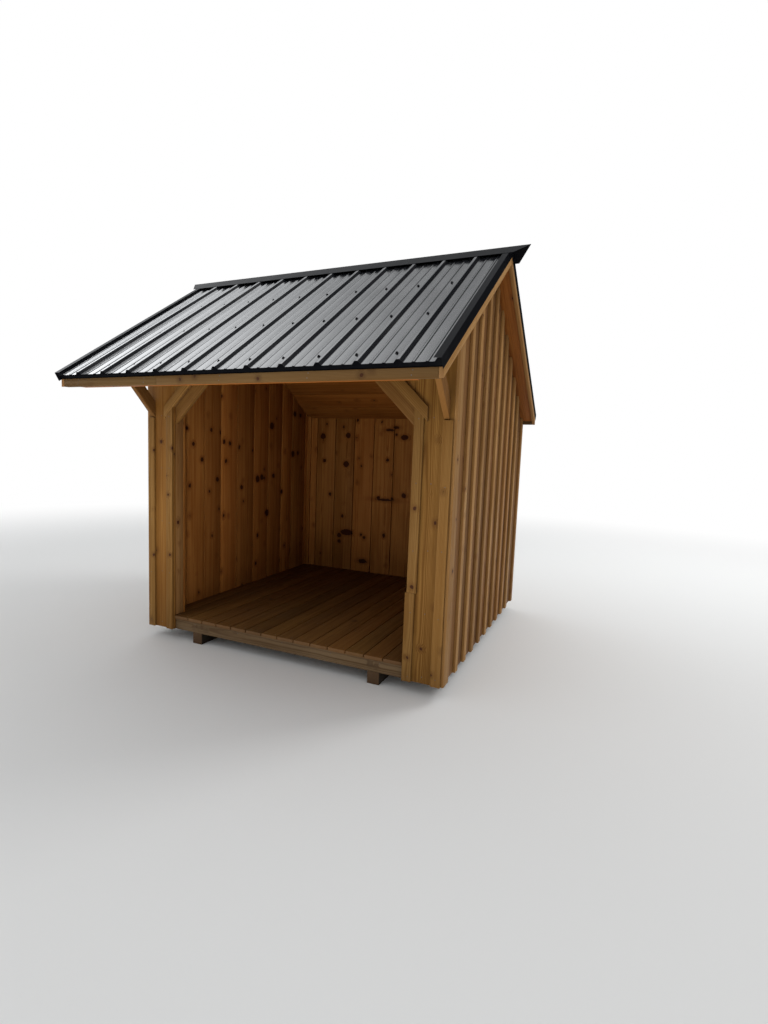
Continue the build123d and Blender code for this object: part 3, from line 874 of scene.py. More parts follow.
@dataclass(frozen=True)
class CoatedSteel:
    """Black coil-coated steel: glossy paint with faint dust and rolling marks."""

    name: str
    color: Color = (0.011, 0.0118, 0.0145)
    roughness: float = 0.16
    wear: tuple[float, float] = (-0.05, 0.09)    # change of roughness from the cleanest paint to the dullest
    index: float = 1.5                     # of refraction, and so how strongly it mirrors
    dust: float = 0.10
    relief: float = 0.004                  # height of the rolling marks in metres
    bump: float = 0.5                      # strength of the relief

    def material(self) -> bpy.types.Material:
        """Builds the material.

        Returns:
            The material.
        """
        net = Net(bpy.data.materials.new(self.name))
        place = net.add("TexCoord").outputs["Object"]
        veil = net.noise(place, VEIL, 5.0, 0.6).outputs[0]
        runs = net.noise(place, RUNS, 3.0, 0.55).outputs[0]
        speck = net.noise(place, SPECKS, 2.0).outputs[0]
        dusty = net.math("MULTIPLY", net.between(veil, 0.4, 0.75), net.between(runs, 0.3, 0.75))
        dusty = net.math("ADD", dusty, net.math("MULTIPLY", net.between(speck, 0.68, 0.78), SPECK_SHARE), clamp=True)
        color = net.shift(dusty, self.dust, rgba(self.color), DUST)
        worn = net.math("ADD", net.math("MULTIPLY", veil, 0.5), net.math("MULTIPLY", runs, 0.5))
        rough = net.between(worn, 0.3, 0.7, *(self.roughness + change for change in self.wear))
        waves = net.noise(place, ROLLING, 2.0, 0.4).outputs[0]
        height = net.math("ADD", waves, net.math("MULTIPLY", runs, RUN_RELIEF))
        bump = net.add("Bump", None, Strength=self.bump, Distance=self.relief, Height=height)
        shader = net.add("BsdfPrincipled", None, Base_Color=color, Roughness=rough, Normal=bump.outputs[0],
                         IOR=self.index)
        return net.surface(shader)


@dataclass(frozen=True)
class ZincSteel:
    """Plain zinc-coated steel of nails."""

    name: str
    color: Color = (0.15, 0.14, 0.13)
    stain: Color = (0.08, 0.06, 0.045)

    def material(self) -> bpy.types.Material:
        """Builds the material.

        Returns:
            The material.
        """
        net = Net(bpy.data.materials.new(self.name))
        place = net.add("TexCoord").outputs["Object"]
        spangle = net.noise(place, SPANGLE, 2.0).outputs[0]
        color = net.mix(net.between(spangle, 0.4, 0.7), rgba(self.color), rgba(self.stain))
        rough = net.between(spangle, 0.3, 0.7, 0.4, 0.65)
        shader = net.add("BsdfPrincipled", None, Base_Color=color, Roughness=rough, Metallic=0.9)
        return net.surface(shader)


@dataclass(frozen=True)
class PaleFloor:
    """Pale studio floor that fades to white far from the shed."""

    name: str
    color: Color = (0.80, 0.80, 0.79)
    mottle: Color = (0.7, 0.69, 0.67)
    fade: tuple[float, float] = (5.0, 11.0)     # metres from the middle where it starts and ends

    def material(self) -> bpy.types.Material:
        """Builds the material.

        Returns:
            The material.
        """
        net = Net(bpy.data.materials.new(self.name))
        place = net.add("TexCoord").outputs["Object"]
        color = net.shift(net.noise(place, MOTTLE, 4.0).outputs[0], MOTTLE_SHARE, rgba(self.color), self.mottle)
        plain = net.add("BsdfPrincipled", None, Base_Color=color, Roughness=0.85)
        far = net.add("VectorMath", {"operation": "LENGTH"}, i0=place).outputs["Value"]
        white = net.add("Emission", None, Color=rgba((1.0, 1.0, 1.0)), Strength=1.0)
        camera = net.add("LightPath").outputs["Is Camera Ray"]
        share = net.math("MULTIPLY", net.between(far, *self.fade), camera)
        blend = net.add("MixShader", None, i0=share, i1=plain.outputs[0], i2=white.outputs[0])
        return net.surface(blend)


@dataclass(frozen=True)
class Finishes:
    """Every finish of the shed, made once."""

    timber: bpy.types.Material
    rim: bpy.types.Material
    frame: bpy.types.Material
    hidden: bpy.types.Material
    deck: bpy.types.Material
    siding: bpy.types.Material
    walls: bpy.types.Material
    batten: bpy.types.Material
    front_batten: bpy.types.Material
    brace: bpy.types.Material
    lining: bpy.types.Material
    ceiling: bpy.types.Material
    fascia: bpy.types.Material
    metal: bpy.types.Material
    trim: bpy.types.Material
    zinc: bpy.types.Material

    @classmethod
    def mix(cls) -> "Finishes":
        """Builds every material.

        Returns:
            The shed's finishes.
        """
        return cls(
            # Skid timber: painted shade, its colours made nearly black for the deep shade under the shed rather than
            # the wood's own tone.
            timber=Wood("skid_timber", pale=(0.03, 0.023, 0.015), dark=(0.017, 0.012, 0.007), weather=0.05).material(),
            # Rim wood: darker than the frame wood, partly for its real greying and partly as painted shade for the
            # shade it stands in.
            rim=Wood("rim_wood", pale=(0.16, 0.108, 0.056), dark=(0.05, 0.028, 0.011), weather=0.12, knotty=0.5,
                     knots=RIM_KNOTS).material(),
            frame=Wood("frame_wood", pale=(0.30, 0.165, 0.06), dark=(0.20, 0.097, 0.03), knotty=0.45).material(),
            hidden=Wood("hidden_frame_wood", by_board=False, stretch=(1.0, 1.0, 0.2)).material(),
            deck=Wood("deck_wood", pale=(0.18, 0.086, 0.019), dark=(0.1, 0.043, 0.008), weather=0.12, tone=0.5,
                      knotty=0.3, roughness=0.6).material(),
            # Front boards: painted shade, made darker than the wood's own colour for the shade that falls on the front.
            siding=Wood("siding_wood", pale=(0.235, 0.117, 0.027), dark=(0.118, 0.05, 0.009), figure=0.75, knotty=0.5,
                        knot_size=0.010, knots=SIDING_KNOTS).material(),
            # Gable and back boards: painted shade, darker than the battens for the shade that lies between them.
            walls=Wood("wall_board_wood", pale=(0.215, 0.108, 0.036), dark=(0.135, 0.059, 0.017), knotty=0.6,
                       knot_size=0.010).material(),
            batten=Wood("batten_wood", pale=(0.38, 0.212, 0.076), dark=(0.25, 0.124, 0.036), knotty=0.65,
                        knot_size=0.008, knots=WALL_KNOTS).material(),
            # Front battens and diagonal trims: painted shade, a darker copy of batten_wood for the front's shade; the
            # gable battens keep the lit colour.
            front_batten=Wood("front_batten_wood", pale=(0.24, 0.13, 0.037), dark=(0.14, 0.067, 0.015), figure=0.7,
                              knotty=0.5, knot_size=0.008, knots=BATTEN_KNOTS).material(),
            # Braces: painted shade, darker than frame_wood for the shade on the front and under the eave.
            brace=Wood("brace_wood", pale=(0.21, 0.104, 0.029), dark=(0.125, 0.056, 0.013), knotty=0.4).material(),
            lining=Wood("lining_wood", pale=(0.42, 0.18, 0.043), dark=(0.21, 0.074, 0.013), tone=0.46, knotty=0.7,
                        knot_size=0.016, heart=(0.04, 0.009, 0.002),
                        knots=BACK_LINING_KNOTS + LEFT_LINING_KNOTS).material(),
            ceiling=Wood("ceiling_wood", pale=(0.28, 0.102, 0.02), dark=(0.165, 0.052, 0.008), tone=0.45,
                         knotty=0.5).material(),
            fascia=Wood("fascia_wood", pale=(0.135, 0.083, 0.031), dark=(0.078, 0.041, 0.012), knotty=0.5,
                        knots=FASCIA_KNOTS).material(),
            metal=CoatedSteel("roof_metal").material(),
            # Trims, ridge cap and screws: painted shade, a darker copy of roof_metal that hardly mirrors, so that they
            # read as dark as the dim surroundings they reflect.
            trim=CoatedSteel("trim_metal", color=(0.006, 0.0064, 0.008), roughness=0.3, index=1.06,
                             dust=0.03).material(),
            zinc=ZincSteel("nail_zinc").material(),
        )


# Sub-assemblies


@dataclass
class Floor:
    """Skids, rims, joists and planks."""

    finishes: Finishes
    skid_x: float = 30.0
    skid: float = 3.5
    plank: float = 5.5
    plank_gap: float = 0.28
    first_joint: float = -44.18
    nosing: tuple[float, float] = (-38.68, 38.32)   # planks between these reach the front boards' face

    def build(self) -> None:
        """Builds and dresses the floor."""
        self.skids()
        self.rims()
        self.planks()
        dress_solids(["floor_joists"], self.finishes.hidden)

    def skids(self) -> None:
        """Two square timbers that run from front to back."""
        work = Joinery("skid_timbers")
        for x in (-self.skid_x, self.skid_x):
            across = (x - self.skid / 2, x + self.skid / 2)
            work.box(across, (D.frame_front, D.frame_rear), (0.0, self.skid), Grain.DEEP)
        work.finish(self.finishes.timber, "skid_timber", "skids", ease=0.004)

    def rims(self) -> None:
        """Joists round the edge of the floor."""
        height = (D.rim_z, D.deck_z)
        for node, y in (("front_rim", D.frame_front), ("rear_rim", D.frame_rear - D.stick)):
            work = Joinery(node + "_board")
            work.box((-D.half_frame, D.half_frame), (y, y + D.stick), height, Grain.ACROSS)
            work.finish(self.finishes.rim, "floor_frame_wood", node, ease=0.003)
        work = Joinery("side_rim_boards")
        for x in (-D.half_frame, D.half_frame - D.stick):
            work.box((x, x + D.stick), (D.frame_front + D.stick, D.frame_rear - D.stick), height, Grain.DEEP)
        work.finish(self.finishes.rim, "floor_frame_wood", "side_rims", ease=0.003)

    def planks(self) -> None:
        """Floor planks with open joints; those in the opening run out to the face of the front boards."""
        work = Joinery("floor_planks")
        for left, right in spans(-D.half_frame, D.half_frame, self.first_joint, self.plank):
            reaches = left >= self.nosing[0] - self.plank_gap and right <= self.nosing[1] + self.plank_gap
            long = (D.front_face if reaches else D.frame_front, D.frame_rear)
            work.box(shrunk((left, right), self.plank_gap / 2), long, (D.deck_z, D.floor_z), Grain.DEEP)
        work.finish(self.finishes.deck, "deck_wood", "floor_deck", ease=0.0025)


@dataclass
class SideWall:
    """One gable wall: boards and battens outside, lining inside."""

    finishes: Finishes
    side: Side
    corner_board: float = 4.5
    first_batten: float = 12.475     # centre behind the front face
    batten_pitch: float = 9.0
    batten_thick: float = 0.75
    lining_widths: tuple[float, ...] = (7.1, 9.1, 9.1, 9.6, 10.8, 10.1, 10.1, 8.4, 11.3, 3.4)
    joint: float = 0.05
    seam: float = 0.16               # half an open joint of the lining

    def build(self) -> None:
        """Builds and dresses the wall."""
        self.siding()
        self.battens()
        self.lining()
        dress_solids([self.side.name.lower() + "_wall_frame"], self.finishes.hidden)

    def siding(self) -> None:
        """Upright boards with their joints under the battens."""
        node = self.side.name.lower() + "_siding"
        work = Joinery(node + "_boards")
        x = self.side.reach(D.half_frame, D.side_face)
        joint = D.front_face + self.first_batten - self.batten_pitch
        for y0, y1 in spans(D.frame_front, D.frame_rear, joint, self.batten_pitch):
            top = max(D.roof_z(y0), D.roof_z(y1)) if not y0 < D.apex_y < y1 else D.apex_z
            work.box(x, shrunk((y0, y1), self.joint), (D.rim_z, top))
        work.finish(self.finishes.walls, "siding_wood", node, roof_cuts(D.rafter_top))

    def battens(self) -> None:
        """Cover battens, and the wider board that closes the front corner."""
        node = self.side.name.lower() + "_battens"
        work = Joinery(node + "_sticks")
        x = self.side.reach(D.side_face, D.side_face + self.batten_thick)
        count = int((D.rear_face - 2 * D.batten - D.front_face - self.first_batten) / self.batten_pitch) + 1
        starts = [D.front_face + self.first_batten - D.batten / 2 + k * self.batten_pitch for k in range(count)]
        reach = [(D.front_face, D.front_face + self.corner_board)]
        reach += [(y, y + D.batten) for y in (*starts, D.rear_face - D.batten)]
        for y0, y1 in reach:
            work.box(x, (y0, y1), (D.rim_z, max(D.roof_z(y0), D.roof_z(y1)) + D.batten))
        work.finish(self.finishes.batten, "batten_wood", node, roof_cuts(D.rake_soffit_low))

    def lining(self) -> None:
        """Wide knotty boards inside, cut to the ceiling."""
        node = self.side.name.lower() + "_lining"
        work = Joinery(node + "_boards")
        x = self.side.reach(D.lining_in, D.wall_in)
        y = D.front_in
        for width in self.lining_widths:
            end = min(y + width, D.rear_in)
            work.box(x, shrunk((y, end), self.seam), (D.floor_z, D.apex_z))
            y = end
        work.finish(self.finishes.lining, "lining_wood", node, roof_cuts(D.soffit_low), ease=0.0022)


@dataclass
class BackWall:
    """Low wall at the back with its corner strips."""

    finishes: Finishes
    batten_pitch: float = 9.0
    batten_thick: float = 0.75
    first_joint: float = -38.95
    lining_width: float = 9.25
    strip: float = 1.75
    joint: float = 0.05
    seam: float = 0.14               # half an open joint of the lining

    def build(self) -> None:
        """Builds and dresses the wall."""
        self.siding()
        self.lining()
        dress_solids(["back_wall_frame"], self.finishes.hidden)

    def siding(self) -> None:
        """Boards and battens of the outer face."""
        count = int((D.side_face - 2 * D.batten) / self.batten_pitch)
        joints = [k * self.batten_pitch for k in range(-count, count + 1)]
        work = Joinery("back_siding_boards")
        height = (D.rim_z, D.rear_fascia_z)
        for x in zip([-D.side_face, *joints], [*joints, D.side_face]):
            work.box(shrunk(x, self.joint), (D.frame_rear, D.rear_face), height)
        work.finish(self.finishes.walls, "siding_wood", "back_siding")
        work = Joinery("back_battens_sticks")
        edge = D.side_face - D.batten / 2
        for x in (-edge, *joints, edge):
            work.box((x - D.batten / 2, x + D.batten / 2), (D.rear_face, D.rear_face + self.batten_thick), height)
        work.finish(self.finishes.batten, "batten_wood", "back_battens")

    def lining(self) -> None:
        """Lining boards and the cover strips in the corners."""
        work = Joinery("back_lining_boards")
        face = D.rear_in - D.board
        height = (D.floor_z, D.roof_z(face))
        for x in spans(-D.lining_in, D.lining_in, self.first_joint, self.lining_width):
            work.box(shrunk(x, self.seam), (face, D.rear_in), height)
        work.finish(self.finishes.lining, "lining_wood", "back_lining", roof_cuts(D.soffit_low), ease=0.0022)
        work = Joinery("corner_cover_strips")
        for x in (-D.lining_in, D.lining_in - self.strip):
            work.box((x, x + self.strip), (face - D.board, face), height)
        work.finish(self.finishes.lining, "batten_wood", "corner_strips", roof_cuts(D.soffit_low))


@dataclass
class FrontWall:
    """Open front: boards beside the opening, header, trims, braces and the studs that show."""

    finishes: Finishes
    batten_thick: float = 0.75
    batten_pitch: float = 9.0
    trim_leg: float = 10.85
    trim_lap: float = 3.55
    brace_leg: float = 15.75
    knee_drop: float = 22.05
    knee_in: float = 1.0
    jamb_batten_in: float = 0.15
    splice_z: float = 26.9      # the right jamb batten is pieced here, a little out of line
    splice_step: float = 0.4
    lining_boards: int = 9      # over the opening
    joint: float = 0.05

    @property
    def trim_sum(self) -> float:
        """Distance from the middle plus height along a diagonal trim's lower edge."""
        return D.strip_x + D.opening_top - self.trim_leg

    @property
    def brace_sum(self) -> float:
        """The same for the brace behind it."""
        return D.jamb_x + D.opening_top - self.brace_leg

    @property
    def knee_foot(self) -> float:
        """Height of a knee brace's foot."""
        return D.roof_z(D.front_face, D.soffit_low) - self.knee_drop

    def build(self) -> None:
        """Builds and dresses the front."""
        self.studs()
        self.siding()
        self.battens()
        self.diagonals()
        self.knees()
        self.lining()

    def studs(self) -> None:
        """Jambs, corner studs, sills and header of the front frame."""
        work = Joinery("front_frame_sticks")
        top = D.opening_top - D.gap
        for side in BOTH_SIDES:
            for x0, x1, z1 in ((D.jamb_x, D.jamb_x + D.stick, top), (D.wall_in - D.stick, D.wall_in, top),
                               (D.jamb_x + D.stick + D.gap, D.wall_in - D.stick - D.gap, D.floor_z + D.stick)):
                grain = Grain.UP if z1 == top else Grain.ACROSS
                work.box(side.reach(x0, x1), (D.frame_front, D.front_in), (D.floor_z, z1), grain)
        work.box((-D.wall_in, D.wall_in), (D.frame_front, D.front_in), (D.opening_top, D.roof_z(D.front_in)),
                 Grain.ACROSS, roof_cuts(D.rafter_low))
        work.finish(self.finishes.frame, "frame_wood", "front_wall_frame", ease=0.003)

    def siding(self) -> None:
        """Boards beside and over the opening."""
        depth = (D.front_face, D.frame_front)
        for side in (Side.RIGHT, Side.LEFT):
            node = f"front_siding_{side.name.lower()}"
            work = Joinery(node + "_board")
            work.box(side.reach(D.strip_x, D.side_face), depth, (D.rim_z, D.apex_z))
            work.finish(self.finishes.siding, "siding_wood", node, roof_cuts(D.rafter_low))
        work = Joinery("front_header_boards")
        filler = self.trim_sum - D.opening_top
        edge = D.strip_x - D.gap
        for side in BOTH_SIDES:
            cuts = [Cut((side.sign * filler, 0.0, D.opening_top), -side.slant)]
            for x0, x1 in ((filler, (filler + edge) / 2), ((filler + edge) / 2, edge)):
                work.box(shrunk(side.reach(x0, x1), self.joint), depth, (self.trim_sum - edge, D.apex_z), cuts=cuts)
        count = int((filler - D.batten) / self.batten_pitch)
        joints = [k * self.batten_pitch for k in range(-count, count + 1)]
        for x in zip([-filler, *joints], [*joints, filler]):
            work.box(shrunk(x, self.joint), depth, (D.opening_top, D.apex_z))
        work.finish(self.finishes.siding, "siding_wood", "front_siding_header", roof_cuts(D.rafter_low))

    def battens(self) -> None:
        """Jamb battens, corner battens and the short ones over the opening."""
        work = Joinery("front_battens_sticks")
        depth = (D.front_face - self.batten_thick, D.front_face)
        near = D.strip_x + self.jamb_batten_in
        for side in BOTH_SIDES:
            low, high = side.reach(near, near + D.batten)
            foot = D.rim_z
            if side is Side.RIGHT:
                foot = self.splice_z
                work.box((low - self.splice_step, high - self.splice_step), depth, (D.rim_z, foot - self.joint))
            work.box((low, high), depth, (foot, D.opening_top),
                     cuts=[Cut((side.sign * D.strip_x, 0.0, self.trim_sum - D.strip_x), side.slant)])
            work.box(side.reach(D.side_face - D.batten, D.side_face), depth, (D.rim_z, self.knee_foot - D.gap))
        count = int((self.trim_sum - D.opening_top - D.batten) / self.batten_pitch)
        for k in range(-count, count + 1):
            x = k * self.batten_pitch
            work.box((x - D.batten / 2, x + D.batten / 2), depth, (D.opening_top, D.apex_z),
                     cuts=roof_cuts(D.soffit_low))
        work.finish(self.finishes.front_batten, "batten_wood", "front_battens")

    def diagonals(self) -> None:
        """Diagonal trims on the boards and the braces behind them."""
        trim_end = D.strip_x + self.trim_lap
        sets = (("diagonal_trim_sticks", "diagonal_trims", "batten_wood", self.finishes.front_batten, self.trim_sum,
                 D.batten, trim_end, D.front_face - self.batten_thick, D.front_face),
                ("frame_brace_sticks", "frame_braces", "frame_wood", self.finishes.brace, self.brace_sum,
                 D.stud, D.jamb_x, D.frame_front, D.frame_front + D.stick))
        for name, node, slot, finish, total, width, end, y0, y1 in sets:
            work = Joinery(name)
            foot = Vector((end, 0.0, total - end))
            head = Vector((total - D.opening_top, 0.0, D.opening_top))
            middle = (foot + head) / 2 + Side.RIGHT.slant * (width / 2)
            size = Vector(((head - foot).length + 4 * width, width, y1 - y0))
            for side, other in (BOTH_SIDES, BOTH_SIDES[::-1]):
                place = Vector((side.sign * middle.x, (y0 + y1) / 2, middle.z))
                cuts = [Cut((side.sign * end, 0.0, 0.0), X * side.sign), Cut((0.0, 0.0, D.opening_top), Z)]
                work.lay(Board(place, size, other.slant, side.slant), cuts)
            work.finish(finish, slot, node)

    def knees(self) -> None:
        """Braces from the front boards out to the eave soffit."""
        work = Joinery("knee_brace_sticks")
        outer = D.side_face - self.knee_in
        along = Vector((0.0, -1.0, 1.0)).normalized()
        across = Vector((0.0, 1.0, 1.0)).normalized()
        run = self.knee_drop / (1 + D.slope)
        start = Vector((0.0, D.front_face, self.knee_foot))
        middle = start + Vector((0.0, -run / 2, run / 2)) + across * (D.stud / 2)
        size = Vector((run * math.sqrt(2) + 4 * D.stud, D.stud, D.stick))
        cuts = [Cut((0.0, D.front_face, 0.0), Y), roof_cuts(D.soffit_low)[0]]
        for side in BOTH_SIDES:
            place = middle + X * side.sign * (outer - D.stick / 2)
            work.lay(Board(place, size, along, across), cuts)
        work.finish(self.finishes.brace, "brace_wood", "knee_braces", ease=0.003)

    def lining(self) -> None:
        """Lining of the front wall's inner face."""
        work = Joinery("front_lining_boards")
        depth = (D.front_in, D.front_in + D.board)
        for side in BOTH_SIDES:
            work.box(side.reach(D.jamb_x, D.lining_in), depth, (D.floor_z, D.opening_top - D.gap))
        width = 2 * D.lining_in / self.lining_boards
        for k in range(self.lining_boards):
            x = k * width - D.lining_in
            work.box(shrunk((x, x + width), self.joint), depth, (D.opening_top, D.apex_z), cuts=roof_cuts(D.soffit_low))
        work.finish(self.finishes.lining, "lining_wood", "front_lining")


@dataclass
class RoofWood:
    """Ceiling, soffits, fascias and barge boards; the boards and rafters inside keep their solids."""

    finishes: Finishes
    ceiling_width: float = 9.2
    first_ceiling_joint: float = 50.75     # where the rear slope's lowest joint lies, along the depth of the shed
    fascia_joint: float = -19.4
    barge_depth: float = 3.4
    eave_boards: int = 3
    joint: float = 0.05

    def build(self) -> None:
        """Builds and dresses the roof's wood."""
        self.ceilings()
        self.soffits()
        self.fascias()
        self.barges()
        dress_solids(("ridge_board", "rafters", "front_roof_boards", "rear_roof_boards"), self.finishes.hidden)

    def ceilings(self) -> None:
        """Boards along the ridge under both slopes."""
        for side, end, node in ((Side.FRONT, D.front_in, "front_ceiling"), (Side.REAR, D.rear_in, "rear_ceiling")):
            work = Joinery(node + "_boards")
            depth = (D.rafter_low, D.soffit_low)
            last = D.run_to(end, D.rafter_low)
            lowest = D.run_to(self.first_ceiling_joint, D.soffit_low) if side is Side.REAR else last
            run = lowest - self.ceiling_width * int(lowest / self.ceiling_width)
            for reach in spans(0.0, last, run, self.ceiling_width):
                work.lay(Board.on_roof((-D.wall_in, D.wall_in), shrunk(reach, self.joint), depth, side, False))
            plumb = [Cut((0.0, D.apex_y, 0.0), Y * -side.sign), Cut((0.0, end, 0.0), Y * side.sign)]
            work.finish(self.finishes.ceiling, "ceiling_wood", node, plumb, ease=0.0022)

    def soffits(self) -> None:
        """Boards under the front overhang and along both rakes."""
        work = Joinery("soffit_boards")
        depth = (D.rafter_low, D.soffit_low)
        back = D.fascia_y + D.stick
        bend = D.apex_y - (D.apex_z - D.soffit_low / math.cos(D.pitch) - D.fascia_z) / D.slope
        across = (-D.half_frame, D.half_frame)
        work.box(across, (back, bend - self.joint), (D.fascia_z, D.fascia_z + D.board), Grain.ACROSS)
        inner, outer = D.run_to(D.front_face, D.rafter_low), D.run_to(bend, D.soffit_low)
        cuts = [Cut((0.0, D.front_face, 0.0), Y), Cut((0.0, bend, 0.0), -Y)]
        for k in range(self.eave_boards):
            near = inner + (outer - inner) * k / self.eave_boards
            far = inner + (outer - inner) * (k + 1) / self.eave_boards
            reach = (near + self.joint * (k > 0), far - self.joint)
            work.lay(Board.on_roof(across, reach, depth, Side.FRONT, False), cuts)
        raised = (D.lookout_low, D.rake_soffit_low)
        stretches = ((D.half_frame, Side.FRONT, D.frame_front, back),
                     (D.side_face, Side.FRONT, D.apex_y - D.gap, D.frame_front),
                     (D.side_face, Side.REAR, D.apex_y, D.frame_rear))
        for near_x, side, top_y, low_y in stretches:
            run = (D.run_to(top_y, raised[0]), D.run_to(low_y, raised[1]))
            cuts = [Cut((0.0, top_y, 0.0), Y * -side.sign), Cut((0.0, low_y, 0.0), Y * side.sign)]
            for x in ((near_x, D.barge_in), (-D.barge_in, -near_x)):
                work.lay(Board.on_roof(x, run, raised, side, True), cuts)
        work.finish(self.finishes.ceiling, "ceiling_wood", "soffits")

    def fascias(self) -> None:
        """Boards across both eaves, their upper edges planed to the slope."""
        work = Joinery("front_fascia_boards")
        y = D.fascia_y
        for x in ((-D.barge_in, self.fascia_joint), (self.fascia_joint, D.barge_in)):
            work.box(shrunk(x, self.joint / 2), (y, y + D.stick), (D.fascia_z, D.roof_z(y + D.stick)), Grain.ACROSS)
        work.finish(self.finishes.fascia, "fascia_wood", "front_fascia", roof_cuts(D.rafter_top), ease=0.003)
        work = Joinery("rear_fascia_boards")
        for x in ((-D.barge_in, -self.fascia_joint), (-self.fascia_joint, D.barge_in)):
            work.box(shrunk(x, self.joint / 2), (D.frame_rear, D.rear_fascia_y),
                     (D.rear_fascia_z, D.roof_z(D.frame_rear)), Grain.ACROSS)
        work.finish(self.finishes.fascia, "fascia_wood", "rear_fascia", roof_cuts(D.rafter_top), ease=0.003)

    def barges(self) -> None:
        """Barge boards of both gables, plumb at the ridge and level at their feet."""
        for wall, (x0, x1) in ((Side.RIGHT, (D.barge_in, D.barge_out)), (Side.LEFT, (-D.barge_out, -D.barge_in))):
            node = wall.name.lower() + "_barge_boards"
            work = Joinery(node + "_sawn")
            for side, end, low_z in ((Side.FRONT, D.fascia_y, D.fascia_z),
                                     (Side.REAR, D.rear_fascia_y, D.rear_fascia_z)):
                cuts = [Cut((0.0, D.apex_y + side.sign * D.gap, 0.0), Y * -side.sign),
                        Cut((0.0, end, 0.0), Y * side.sign), Cut((0.0, 0.0, low_z), -Z)]
                last = D.run_to(end, self.barge_depth)
                work.lay(Board.on_roof((x0, x1), (0.0, last), (0.0, self.barge_depth), side, True), cuts)
            work.finish(self.finishes.batten, "fascia_wood", node, ease=0.0025)


@dataclass
class RoofMetal:
    """Ribbed sheets with rounded folds, trims, and the screws that hold them."""

    finishes: Finishes
    rib_pitch: float = 9.0
    fold: float = 0.0022            # metres
    fold_steps: int = 3             # faces round each fold
    fold_angle: float = 12.0        # sharper bends than this many degrees are rounded
    flat_angle: float = 1.0         # gentler bends than this many degrees are none
    smooth_angle: float = 25.0      # bends up to this many degrees are shaded smooth
    weld: float = 0.00001           # metres between points that are one
    sheet: float = 0.0006           # metres
    facing: float = 0.2             # least cosine, to the slope's outward side, of the faces kept from the solid
    screw_rows: tuple[float, ...] = (5.4, 24.7, 46.2, 68.2)   # down the slope from the ridge
    screw_in: float = 1.9           # left of each rib
    washer: float = 0.0095          # metres
    head: float = 0.0055            # metres

    def build(self) -> None:
        """Builds and dresses the roof's metal."""
        for side, node in ((Side.FRONT, "front_roof_metal"), (Side.REAR, "rear_roof_metal")):
            self.fold_sheet(side, node)
        dress_solids(("ridge_cap", "eave_trims", "rake_trims"), self.finishes.trim)
        self.screws()

    def fold_sheet(self, side: Side, node: str) -> None:
        """Makes one slope's sheet with rounded folds from the outer faces of its solid.

        Args:
            side: FRONT or REAR slope.
            node: CAD node that the sheet stands for.
        """
        source = frame["nodes"][node]
        piece = bpy.data.objects.new(node + "_folded", source.data.copy())
        bpy.context.collection.objects.link(piece)
        pick([piece])
        bpy.ops.object.mode_set(mode="EDIT")
        bpy.ops.mesh.select_all(action="SELECT")
        bpy.ops.mesh.remove_doubles(threshold=self.weld)
        bpy.ops.mesh.dissolve_limited(angle_limit=math.radians(self.flat_angle))
        bpy.ops.mesh.select_mode(type="FACE")
        bpy.ops.mesh.select_all(action="DESELECT")
        bpy.ops.object.mode_set(mode="OBJECT")
        up = D.outward(side)
        for face in piece.data.polygons:
            face.select = face.normal.dot(up) < self.facing
        bpy.ops.object.mode_set(mode="EDIT")
        bpy.ops.mesh.delete(type="FACE")
        bpy.ops.object.mode_set(mode="OBJECT")
        bevel = piece.modifiers.new("folds", "BEVEL")
        bevel.width, bevel.segments, bevel.limit_method = self.fold, self.fold_steps, "ANGLE"
        bevel.angle_limit = math.radians(self.fold_angle)
        bpy.ops.object.modifier_apply(modifier=bevel.name)
        solid = piece.modifiers.new("sheet", "SOLIDIFY")
        solid.thickness, solid.offset = self.sheet, -1.0
        bpy.ops.object.modifier_apply(modifier=solid.name)
        bpy.ops.object.shade_smooth_by_angle(angle=math.radians(self.smooth_angle))
        seat(piece, self.finishes.metal, [node])

    def screw(self) -> bpy.types.Object:
        """Models one roofing screw: sealing washer and hexagon head, standing up from the origin.

        Returns:
            The screw, to be copied.
        """
        parts = []
        for vertices, radius, depth, middle, ease in ((12, self.washer, 0.003, 0.0015, 0.0005),
                                                      (6, self.head, 0.0065, 0.0055, 0.0006)):
            clear_selection()
            bpy.ops.mesh.primitive_cylinder_add(vertices=vertices, radius=radius, depth=depth, location=(0, 0, middle))
            parts.append(bpy.context.object)
            ease_edges(parts[-1], ease, 1)
        return join(parts, "screw")

    def screws(self) -> None:
        """Rows of screws in the flats beside the ribs of both slopes."""
        places = []
        bays = round(2 * D.barge_out / self.rib_pitch)
        for side in (Side.FRONT, Side.REAR):
            up, down = D.outward(side), D.down(side)
            turn = Matrix((X * side.sign, down, up)).transposed().to_4x4()
            for k in range(1, bays + 1):
                x = (k - bays / 2) * self.rib_pitch - self.screw_in
                for row in self.screw_rows:
                    y, z = D.on_slope(row, 0.0, side)
                    places.append(Matrix.Translation(Vector((x, y, z)) * INCH + up * self.sheet) @ turn)
        seat(strew(self.screw(), places, "roof_screws"), self.finishes.trim)


NailPlace = tuple[Point, Vector]     # a head's middle in inches, and the way it faces


def stray(amount: float, number: int) -> float:
    """One of three small offsets, so that no row of nails is quite straight."""
    return amount * (number % 3 - 1)


